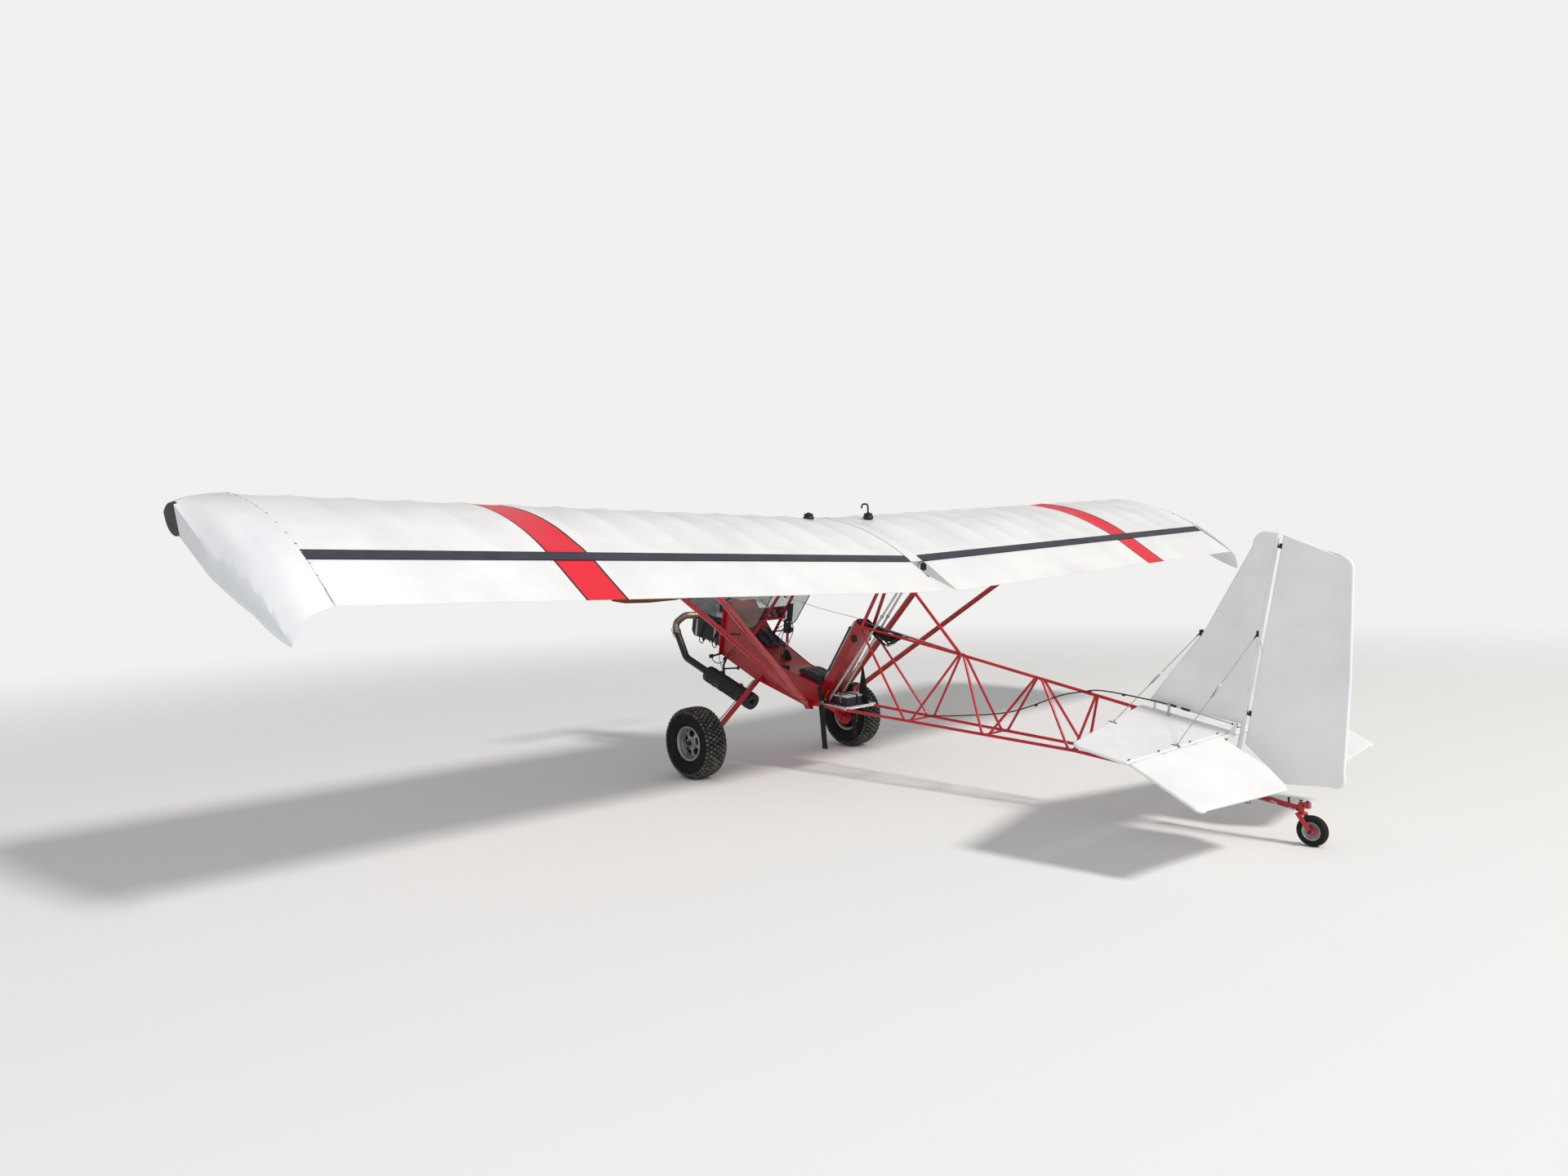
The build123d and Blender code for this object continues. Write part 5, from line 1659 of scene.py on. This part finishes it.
dial_rims, dial_faces, marks = [], [], []
for n, (x, z, r) in enumerate(DIALS):
    dial_rims.append(collar((x, -21, z), (x, -15.5, z), r - 4, r + 1.5, 40))
    dial_faces.append(turned((x, -20.2, z), (x, -18.6, z), [(0, r - 3.5), (1.6, r - 3.5)], 40))
    for k, t in enumerate(turns(24)):
        (xa, za), (xb, zb) = on_circle(x, z, r - (9.4 if k % 2 else 11.6), t), on_circle(x, z, r - 6, t)
        marks.append(rod((xa, -18.2, za), (xb, -18.2, zb), 0.55, 4))
    for turn, reach in ((0.9 + n * 1.3, r - 9), (3.0 + n, r - 14)):
        xb, zb = on_circle(x, z, reach, turn)
        marks.append(rod((x, -17.8, z), (xb, -17.8, zb), 0.9, 6))
    marks.append(turned((x, -18.4, z), (x, -16.6, z), [(0, 3.4), (1.8, 2.8)], 16))
piece("dial_rims", dial_rims, moulded_black, bevel=0.8)
piece("dial_faces", dial_faces, dial_black)
piece("dial_marks", marks, white_enamel)
strip = slab([(-37, 1028), (-30, 1028), (-28, 1044), (-35, 1044)], -128, 128)
piece("panel_strip", strip, moulded_black, bevel=0.8)
switches = [turned((x, -33, 1048), (x, -16, 1051), SWITCH, 14) for x in (-34, -18, 34)]
switches.append(turned((96, -33, 1062), (96, -14, 1066), KEY_SWITCH, 20))
piece("panel_switches", switches, stainless)
plates = [box(x - 13, x + 13, -33.5, -31.6, z - 4.5, z + 4.5) for x, z in PLATES]
piece("panel_plates", plates, sheet_alloy, bevel=0.5)
panel_screws = [(at(x, -29.5, 1108), (0, 1, 0.05), LEFT) for x in (-126, -36, 36, 126)]
studs("panel_screws", panel_screws, 10, 4.2, 2.8, 2.2, stainless)

stick_tube = tube_along([at(0, 100, 748), at(0, 116, 925), at(0, 124, 1020)], 10.8 * MM, 20)
piece("stick_tube", stick_tube, red_enamel, replaces=["control_stick"])
piece("stick_boot", turned((0, 98, 752), (0, 103, 812), BOOT, 28), black_webbing)


def grip_ring(share):
    """Ring of the grip: finger waves, a rounded head and a narrowed foot."""
    head, foot = max(share - 0.9, 0), max(0.06 - share, 0)
    swell = (1.0 + 0.05 * math.cos(share * 6 * math.pi) - 1.12 * head - 4 * foot) * MM
    centre = at(*GRIP_ENDS[0]).lerp(at(*GRIP_ENDS[1]), share)
    return [centre + Vector((GRIP_WIDE * math.cos(t), GRIP_DEEP * math.sin(t), 0)) * swell for t in turns(24)]


piece("stick_grip", skinned([grip_ring(share) for share in np.linspace(0, 1, 23)]), grip_rubber)
lever_body = slab([(86, 934), (140, 930), (149, 1020), (128, 1040), (98, 1024)], -14.5, 14.5)
clamp = collar((0, 117, 938), (0, 120, 962), 11, 17)
piece("stick_bracket", [lever_body, clamp], moulded_black, bevel=2.2)
levers = [hose(TRIGGER, 4.6, 10, 4), hose(CHOKE_LEVER, 5.5)]
levers.append(turned((0, 130, 962), (0, 168, 956), [(0, 8), (22, 8), (24, 16), (30, 18), (38, 12)], 20))
piece("stick_levers", levers, moulded_black)
piece("stick_cables", [hose(line, r) for r, line in STICK_CABLES], moulded_black)
rings = [collar((0, 134, 1010), (0, 135.5, 1018), 10, 21, 28)]
rings.append(collar((0, 106, 850), (0, 107.4, 866), 11, 14.5))
piece("stick_rings", rings, stainless, bevel=0.6)
throttle = [
    turned((118, 196, 846), (118, 196, 872), [(0, 6), (4, 13), (14, 17), (22, 13), (26, 3)]),
    rod((118, 190, 700), (118, 196, 850), 5),
    box(104, 132, 150, 236, 690, 716),
]
piece("throttle_lever", throttle, moulded_black, bevel=0.8)

# Seat back: pale edge strip, grommet, rivets; push rods' clamps and brass rod ends

EDGE_STRIP = ((533, 637), (547, 627), (838, 1041), (826, 1049))
PUSHROD_FOOT, PUSHROD_TOP = at(52, 551, 480), at(20, 1262, 1352)
strip = skinned([[at(x, y, z) for y, z in EDGE_STRIP] for x in (69.5, 71.5)])
piece("seat_back_strips", strip, sheet_alloy, bevel=0.5, paired=True)
grommet = [collar((69, 820, 925), (72.5, 820, 925), 20, 28, 36)]
grommet.append(turned((69, 820, 925), (70.6, 820, 925), [(0, 21), (1.6, 21)], 36))
piece("seat_back_grommet", grommet, moulded_black, bevel=0.6, paired=True)
row = zip(np.linspace(600, 876, 9), np.linspace(606, 998, 9))
studs("seat_back_rivets", both([(at(70.5, *spot), LEFT, UP) for spot in row]), 10, 3.6, 2.0, 2.6, red_enamel)
run = (PUSHROD_TOP - PUSHROD_FOOT).normalized()
clamps = []
for reach in (330, 760):
    spot = PUSHROD_FOOT + run * reach * MM
    clamps.append(lathe(spot, run, [(0, 8.2), (1, 11.5), (15, 11.5), (16, 8.2)], 16))
    screw = spot + run * 8 * MM
    clamps.append(tube_along([screw, screw + Vector((0.017, 0, 0.004))], 2.4 * MM, 8))
ends = [
    tube_along([at(92, 560, 492), at(92, 560, 520)], [9 * MM, 12 * MM], 14),
    tube_along([at(84, 566, 520), at(104, 566, 520)], 11 * MM, 20),
    tube_along([at(92, 566, 528), at(86, 590, 566)], [6 * MM, 5 * MM], 12),
]
piece("rod_clamps", clamps, stainless, paired=True)
piece("rod_ends", ends, brass_plate, paired=True)

# Battery: ribbed case, pale lid, hold-down bar with hook bolts, terminals, strap and a lipped tray

BATTERY_FALL = (531.0 - 538.0) / 120.0
TRAY_FALL = 15 / 257
TERMINAL = [(0, 8), (6, 8), (7, 5), (12, 5)]
LID = [(-136, 63, 615, 738, 50, 62), (-128, 10, 640, 712, 61, 64)]
HOLD_DOWN = [
    # x, y and height above the battery's foot, each from and to
    (-137, 64, 668, 690, 63.5, 66),
    (64, 66.2, 668, 690, 44, 66),
    (-139, -137, 668, 690, 44, 66),
    (30, 64, 618, 660, 62.5, 65),
]
BATTERY_TIE = [
    (-40, -24, 613.4, 739.8, 64.8, 66.6),
    (-40, -24, 738.4, 740.4, 0, 66),
    (-40, -24, 613, 615, 0, 66),
]
BATTERY_LEADS = [
    [(44, 640, 74), (30, 610, 92), (10, 590, 88), (4, 560, 70), (10, 540, 50)],
    [(-116, 640, 74), (-100, 608, 90), (-70, 590, 84), (-60, 556, 64)],
]
TRAY_LIPS = [(-150, 150, 800, 805, -14, 4), (-150, -147, 560, 805, -14, 4), (147, 150, 560, 805, -14, 4)]


def on_battery(x, y, up):
    """Place above the battery's foot, which leans with its tray."""
    return at(x, y, 474.2 + (y - 615) * BATTERY_FALL + up)


def on_tray(x, y, up):
    return at(x, y, 463.4 + (805 - y) * TRAY_FALL + up)


case = box(-135, 62, 616, 737, 1, 50, on_battery)
piece("battery_case", case, battery_case, replaces=["battery"], bevel=2.0)
ribs = [box(62.2, 64, y, y + 4, 6, 46, on_battery) for y in range(628, 728, 16)]
ribs += [box(x, x + 4, 736.6, 738.6, 6, 46, on_battery) for x in range(-128, 52, 16)]
piece("battery_ribs", ribs, battery_case, bevel=0.4)
piece("battery_lid", [box(*row, on_battery) for row in LID], white_plastic, bevel=1.6)
piece("battery_bar", [box(*row, on_battery) for row in HOLD_DOWN], sheet_alloy, bevel=0.5)
hooks = [rod((x, 679, 6), (x, 679, 62), 2.6, 8, on_battery) for x in (68, -141)]
hooks += [turned((x, 640, 64), (x, 640, 76), TERMINAL, 16, on_battery) for x in (44, -116)]
piece("battery_hooks", hooks, stainless)
piece("battery_tie", [box(*row, on_battery) for row in BATTERY_TIE], black_webbing, bevel=0.4)
piece("battery_leads", [hose(line, 4.2, 10, 6, on_battery) for line in BATTERY_LEADS], moulded_black)
piece("tray_lips", [box(*row, on_tray) for row in TRAY_LIPS], white_enamel, bevel=0.6)
tray_bolts = [(on_tray(x, y, 2.6), UP, LEFT) for x in (-128, 128) for y in (585, 690, 790)]
studs("tray_bolts", tray_bolts, 6, 6.0, 5.6, 4.0, stainless)
gusset = slab([(702, 469), (796, 464), (784, 560), (754, 716), (743, 716), (720, 600)], -92, -88)
foot = box(-100, -88, 702, 794, 464, 470)
piece("rear_gusset", [gusset, foot], moulded_black, bevel=1.0)

# Harness in flat webbing: lap belts that hang down at the sides, shoulder straps over the seat back

STRAP_EDGE = ((-1, 0), (-0.96, 1), (0.96, 1), (1, 0), (0.96, -1), (-0.96, -1))
LAP_BELTS = [
    # width, the way the width lies from end to end, route
    (
        46,
        [AFT, (0.1, 1, 0), AFT, (-0.12, 1, 0), AFT],
        [(157, 578, 484), (157.5, 583, 420), (155.5, 592, 340), (157, 600, 262), (156.4, 606, 190)],
    ),
    (44, [AFT, (0.2, 1, 0), AFT], [(159, 582, 484), (160.5, 588, 440), (159, 596, 384), (160, 600, 330)]),
    (
        44,
        [AFT, (0.3, 1, 0), AFT],
        [(112, 520, 614), (134, 544, 600), (150, 566, 562), (156, 578, 520), (157, 579, 484)],
    ),
]
SHOULDER_STRAP = [
    # share of the strap's distance from the middle, y, z
    *[(1, 790, 1010), (1, 822, 1052), (0.98, 862, 1046), (0.9, 905, 1022), (0.8, 1040, 986)],
    *[(0.7, 1188, 953), (0.7, 1204, 943), (0.7, 1190, 934), (0.7, 1090, 942)],
]
STRAP_LOOP = [
    *[(0.8, 900, 1004), (1, 950, 958), (1.1, 1024, 905), (1, 1062, 888)],
    *[(0.8, 1100, 906), (0.7, 1140, 930), (0.6, 1190, 938)],
]
STRAP_DRAPE = [
    # distance to the strap's side, y, z
    *[(0, 898, 1000), (4, 950, 984), (-3, 1010, 952), (3, 1062, 934), (0, 1110, 938), (0, 1160, 946)],
]
CORD_AND_HIGHLIGHT = [
    *[(0, 1655, 863), (12, 1400, 918), (22, 905, 1029), (24, 850, 1056)],
    *[(24, 800, 1062), (20, 440, 1122), (14, 130, 1190)],
]


def webbing(line, wide, thick, edges, steps=8):
    """Flat strap along places in millimetres; edges are the ways its width lies from end to end."""
    path = smooth_line([at(*p) for p in line], steps)
    last = len(path) - 1
    edges = [Vector(e) for e in edges]
    w, h = wide / 2 * MM, thick / 2 * MM
    rings = []
    for i, p in enumerate(path):
        run = (path[min(i + 1, last)] - path[max(i - 1, 0)]).normalized()
        t = i / last * (len(edges) - 1)
        k = min(int(t), len(edges) - 2)
        side = edges[k].lerp(edges[k + 1], t - k)
        side = (side - run * side.dot(run)).normalized()
        up = run.cross(side)
        rings.append([p + side * a * w + up * b * h for a, b in STRAP_EDGE])
    return skinned(rings)


straps = [both_sides(*[webbing(line, wide, 1.8, edges) for wide, edges, line in LAP_BELTS])]
for x in (-21, 21):
    straps.append(webbing([(x * share, y, z) for share, y, z in SHOULDER_STRAP], 36, 2.0, [LEFT, LEFT], 6))
    ways = [(1, 0, 0.1), (1, 0.3, 0), (1, -0.3, 0), LEFT]
    straps.append(webbing([(x * share, y, z) for share, y, z in STRAP_LOOP], 34, 2.0, ways, 6))
for x in (-13, 4, 15):
    ways = [(0.2, 0, 1), (-0.15, 0, 1), (0.2, 0.1, 1), UP]
    straps.append(webbing([(x + off, y, z) for off, y, z in STRAP_DRAPE], 52 - abs(x), 1.6, ways, 6))
piece("harness_webbing", straps, black_webbing, replaces=["harness"])
sliders = [box(153.5, 161.5, 584, 630, 170, 194), box(153, 162, 572, 614, 336, 352)]
piece("belt_sliders", sliders, moulded_black, bevel=1.2, paired=True)
buckles = [
    both_sides(box(154, 163, 562, 606, 470, 498)),
    box(-16, 16, 1052, 1078, 880, 884),
    box(-14, 14, 1054, 1060, 876, 890),
    box(-24, 24, 1198, 1204, 930, 956),
]
piece("harness_buckles", buckles, stainless, bevel=1.2)
# A pale cord; along the tube and webbing edges its pale is painted highlight.
piece("cord_and_painted_highlight", tube_along([at(*p) for p in CORD_AND_HIGHLIGHT], 1.8 * MM, 8), cord_and_highlight)
line_end = turned((14, 136, 1189), (13, 104, 1194), [(0, 3), (6, 5), (26, 5), (32, 2)], 12)
piece("line_end", line_end, moulded_black)

# Padded pieces, blown up by cloth simulation from closed forms a little smaller than the real ones

VOXEL = 0.005
PRESSURE = 4.0
LAST_FRAME = 20


def stuffed(name, shape, material, node, most_mm, rest, channels):
    """Cushion swollen from a closed form, its move held to most_mm and to what it rests on, then sewn."""
    mesh = bpy.data.meshes.new(name)
    mesh.from_pydata([tuple(p) for p in shape[0]], [], shape[1])
    work = bmesh.new()
    work.from_mesh(mesh)
    bmesh.ops.recalc_face_normals(work, faces=work.faces)
    work.to_mesh(mesh)
    work.free()
    made = linked(name, mesh)
    grid = made.modifiers.new("grid", "REMESH")
    grid.mode = "VOXEL"
    grid.voxel_size = VOXEL
    frozen(made)
    start = np.array([v.co for v in made.data.vertices])
    cloth = made.modifiers.new("cloth", "CLOTH")
    cloth.settings.use_pressure = True
    cloth.settings.uniform_pressure_force = PRESSURE
    cloth.settings.effector_weights.gravity = 0.0
    for step in range(1, LAST_FRAME + 1):
        bpy.context.scene.frame_set(step)
    frozen(made)
    bpy.context.scene.frame_set(1)
    places = np.array([v.co for v in made.data.vertices])
    move = places - start
    far = np.linalg.norm(move, axis=1, keepdims=True)
    places = start + move * np.minimum(1.0, most_mm * MM / np.maximum(far, 1e-9))
    normals = np.array([v.normal for v in made.data.vertices])
    for distance, depth, wide in channels:
        off = distance(places, normals)
        places = places - normals * (depth * MM * np.exp(-((off / (wide * MM)) ** 2)))[:, None]
    origin, up = rest
    below = np.minimum((places - np.array(origin)) @ np.array(up), 0.0)
    places = places - below[:, None] * np.array(up)
    made.data.vertices.foreach_set("co", places.ravel())
    finer = made.modifiers.new("finer", "SUBSURF")
    finer.levels = 1
    finer.render_levels = 1
    frozen(made)
    settled(made, material, "airframe", replaces=[node])


def line_across(axis, value):
    """Distance from a sewn line that lies where one coordinate has a value, on upward faces."""

    def distance(places, normals):
        off = np.abs(places @ np.array(axis) - value)
        return np.where(normals[:, 2] > 0.2, off, 1.0)

    return distance


def plane_through(a, b):
    """Plane that holds two places (y, z) and lies level across, with its normal upwards."""
    run = (at(0, *b) - at(0, *a)).normalized()
    up = Vector((0, -run.z, run.y))
    if up.z < 0:
        up = -up
    return tuple(at(0, *a)), tuple(up)


SEAT_PAD = [(308, 670), (520, 606), (521, 635), (505, 649), (390, 683), (327, 696), (308, 690)]
SEAT_REST = ((306, 667), (548, 593.5))
BACK_PAD = [(577, 686), (800, 1005), (787, 1014), (564, 695)]
BACK_REST = ((543, 636), (829, 1045))
BACK_RUN = Vector((0, 230, 328.6)).normalized()
BAG_FORM = [(-15, 824), (-15, 858), (-40, 886), (-112, 940), (-144, 951), (-152, 905)]
BAG_REST = ((2, 811), (-185, 921))
BAG_STRAP = [(-10, 850), (-22, 882), (-62, 914), (-120, 953), (-150, 962)]
sewn = [(line_across(LEFT, x * MM), 3.5, 7.0) for x in (-38, 38)]
sewn.append((line_across(AFT, (405 + AXLE_Y) * MM), 3.0, 7.0))
pad = slab(SEAT_PAD, -98, 98)
stuffed("seat_pad", pad, black_canvas, "seat_cushion", 7.0, plane_through(*SEAT_REST), sewn)
back_start = at(0, 574, 680).dot(BACK_RUN)
sewn = [(line_across(tuple(BACK_RUN), back_start + k * 66 * MM), 3.0, 6.0) for k in range(1, 6)]
pad = slab(BACK_PAD, -80, 80)
stuffed("back_pad", pad, black_canvas, "back_cushion", 6.0, plane_through(*BACK_REST), sewn)
sewn = [(line_across(AFT, (-62 + AXLE_Y) * MM), 2.5, 4.0)]
pad = slab(BAG_FORM, -70, 70)
stuffed("bag", pad, dark_nylon, "front_bag", 7.0, plane_through(*BAG_REST), sewn)
flaps = [webbing([(x, y, z) for y, z in BAG_STRAP], 22, 1.8, [LEFT, LEFT], 5) for x in (-40, 40)]
piece("bag_straps", flaps, black_webbing)

# Wing fittings: tip screws, painted shade in the left root gap, filler caps, flaperon horns, strut lugs

TIP_SCREW_X = 3956.0
TIP_SCREWS = (520, 620, 735, 849, 954, 1058, 1152, 1242)
FILLER_AT = (300, 648)
FILLER_CAP = [(0, 27), (3, 28), (14, 28), (18, 25), (20, 12), (25, 11)]
HORN_PLATE = [(1292, 1384), (1320, 1372), (1340, 1382), (1340, 1414), (1318, 1430), (1296, 1420)]
tip_line = outline([(1585, 1249), (1010, 1612, 500, 1744)], arc_count=60)
tip_ys, tip_zs = zip(*reversed(tip_line))


def tip_height(y):
    return float(np.interp(y, tip_ys, tip_zs))


def tip_screw(y):
    """Place of a screw at the wing's outer end, upright on the covering's slope."""
    slope = (tip_height(y + 5) - tip_height(y - 5)) / 10
    spot = at(TIP_SCREW_X, y, tip_height(y) + TIP_SCREW_X * WING_RISE)
    return spot, tuple(Vector((-WING_RISE, -slope, 1)).normalized()), LEFT


studs("tip_screws", both([tip_screw(y) for y in TIP_SCREWS]), 12, 6.0, 3.6, 2.6, stainless)
studs("tip_screws_small", both([tip_screw(y) for y in range(1300, 1580, 70)]), 10, 4.0, 2.4, 2.0, stainless)
# A slate tube in the gap between the centre cover and the left wing, on this side only: painted shade where
# the gap shows dark.
gap_shade_line = [at(58.5, y, wing_top(y) + 0.6) for y in range(500, 1312, 12)]
piece("root_gap_shade", tube_along(gap_shade_line, 2.4 * MM, 8), tape_and_gap_shade)
x, y = FILLER_AT
piece("filler_caps", turned((x, y, 1752), (x, y, 1777), FILLER_CAP, 28), moulded_black, paired=True)
knurls = []
for t in turns(20):
    out = (math.cos(t), math.sin(t), 0)
    knurls.append((at(x + 28 * out[0], y + 28 * out[1], 1761), out, UP))
studs("filler_knurls", both(knurls), 6, 4.0, 2.6, 5.0, moulded_black)
neck = turned((x, y, 1738), (x, y, 1752), [(0, 38), (10, 36), (14, 32)], 36)
piece("filler_necks", neck, moulded_black, paired=True)
horn_plate = slab(HORN_PLATE, 62.4, 65.4, rise=WING_RISE)
left_and_right("flaperon_horn", horn_plate, stove_black, "flaperon_{side}", bevel=0.6)
lug_plates = [box(1738, 1752, 362, 402, 1618, 1640), box(1738, 1752, 1130, 1168, 1436, 1460)]
piece("wing_lugs", lug_plates, red_enamel, bevel=2.0, paired=True)

# Camera, standing where the photograph was taken

camera_data = bpy.data.cameras.new("camera")
camera_data.sensor_width = 36.0
camera_data.lens = 27.144
camera = linked("camera", camera_data)
VIEW_RIGHT = Vector((-0.71008, 0.70358, -0.02794))
VIEW_UP = Vector((-0.04889, -0.00969, 0.99877))
VIEW_AHEAD = Vector((-0.70243, -0.71056, -0.04128))
turn = Matrix((VIEW_RIGHT, VIEW_UP, -VIEW_AHEAD)).transposed().to_4x4()
camera.matrix_world = Matrix.Translation((5.958, 6.121 + AXLE_Y * MM, 1.605)) @ turn
bpy.context.scene.camera = camera

# Floor and backdrop that meet without a line, and lamps: soft key from where the sun stood, and a pale fill

BACKDROP = "#F1F1F0"
FLOOR_FADE = (5.5, 15.0)
FLOOR_HALF = 60.0


def pale_floor():
    """Matt floor that keeps the shadow near the craft and turns into the backdrop further off."""
    material, tree, place = blank("pale_floor")
    seen = add(tree, "ShaderNodeLightPath").outputs
    rays = combine(tree, "MAXIMUM", seen["Is Glossy Ray"], seen["Is Transmission Ray"])
    rays = combine(tree, "MAXIMUM", seen["Is Camera Ray"], rays)
    far = add(tree, "ShaderNodeVectorMath", {0: place}, operation="LENGTH").outputs["Value"]
    fade = {"Value": far, "From Min": FLOOR_FADE[0], "From Max": FLOOR_FADE[1]}
    far = add(tree, "ShaderNodeMapRange", fade, interpolation_type="SMOOTHSTEP").outputs["Result"]
    share = combine(tree, "MULTIPLY", far, rays)
    matt = add(tree, "ShaderNodeBsdfDiffuse", {"Color": linear("#E8E8E8")}).outputs[0]
    glow = add(tree, "ShaderNodeEmission", {"Color": linear(BACKDROP), "Strength": 1.0}).outputs[0]
    close(tree, add(tree, "ShaderNodeMixShader", {0: share, 1: matt, 2: glow}))
    return material


floor = linked("floor", bpy.data.meshes.new("floor"))
corners = [(x * FLOOR_HALF, y * FLOOR_HALF, 0.0) for x, y in ((-1, -1), (1, -1), (1, 1), (-1, 1))]
floor.data.from_pydata(corners, [], [(0, 1, 2, 3)])
floor.data.materials.append(pale_floor())
floor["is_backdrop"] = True

world = bpy.data.worlds.new("studio")
world.use_nodes = True
sky = world.node_tree
sky.nodes.clear()
paths = add(sky, "ShaderNodeLightPath").outputs
shown = combine(sky, "MAXIMUM", paths["Is Camera Ray"], paths["Is Transmission Ray"])
strength = spread(sky, shown, 0.0, 1.0, 0.5, 1.0)
backdrop = add(sky, "ShaderNodeBackground", {"Color": linear(BACKDROP), "Strength": strength})
add(sky, "ShaderNodeOutputWorld", {"Surface": backdrop.outputs[0]})
bpy.context.scene.world = world


def lamp(name, place, target, size, watts, colour):
    data = bpy.data.lights.new(name, "AREA")
    data.shape = "DISK"
    data.size = size
    data.energy = watts
    data.color = linear(colour)[:3]
    made = linked(name, data)
    made.location = place
    made.rotation_mode = "QUATERNION"
    made.rotation_quaternion = (Vector(target) - Vector(place)).to_track_quat("-Z", "Y")


lamp("key", (-1.9, 27.4, 25.6), (0, 0, 0.8), 6.0, 10400.0, "#FFFBF6")
lamp("fill", (14.0, 8.0, 6.0), (0, 0, 0.8), 8.0, 420.0, "#EAF1FF")
bpy.context.scene.view_settings.view_transform = "Standard"

# Finishes of the pieces that keep their own solids

KEPT = {
    red_enamel: "firewall front_cabane rear_cabane top_longeron shoulder_tubes lower_longerons truss_tubes"
    " tail_tube tail_fork gear_leg_left gear_leg_right front_strut_left front_strut_right"
    " rear_strut_left rear_strut_right",
    red_sheet: "hull seat_back instrument_panel",
    cast_alloy: "crankcase gearbox",
    stove_black: "cooling_shroud fan_housing muffler",
    bare_pipe: "exhaust_pipe",
    stainless: "tail_wires tie_down_left tie_down_right tie_down_tail",
    sheet_alloy: "battery_tray",
    pale_rod: "flaperon_pushrods",
    moulded_black: "fuel_caps rudder_pedals",
    laminated_birch: "propeller",
    screen_sheet: "windscreen",
}
for material, names in KEPT.items():
    for name in names.split():
        slots = nodes[name].data.materials
        slots.clear()
        slots.append(material)

low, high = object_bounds()
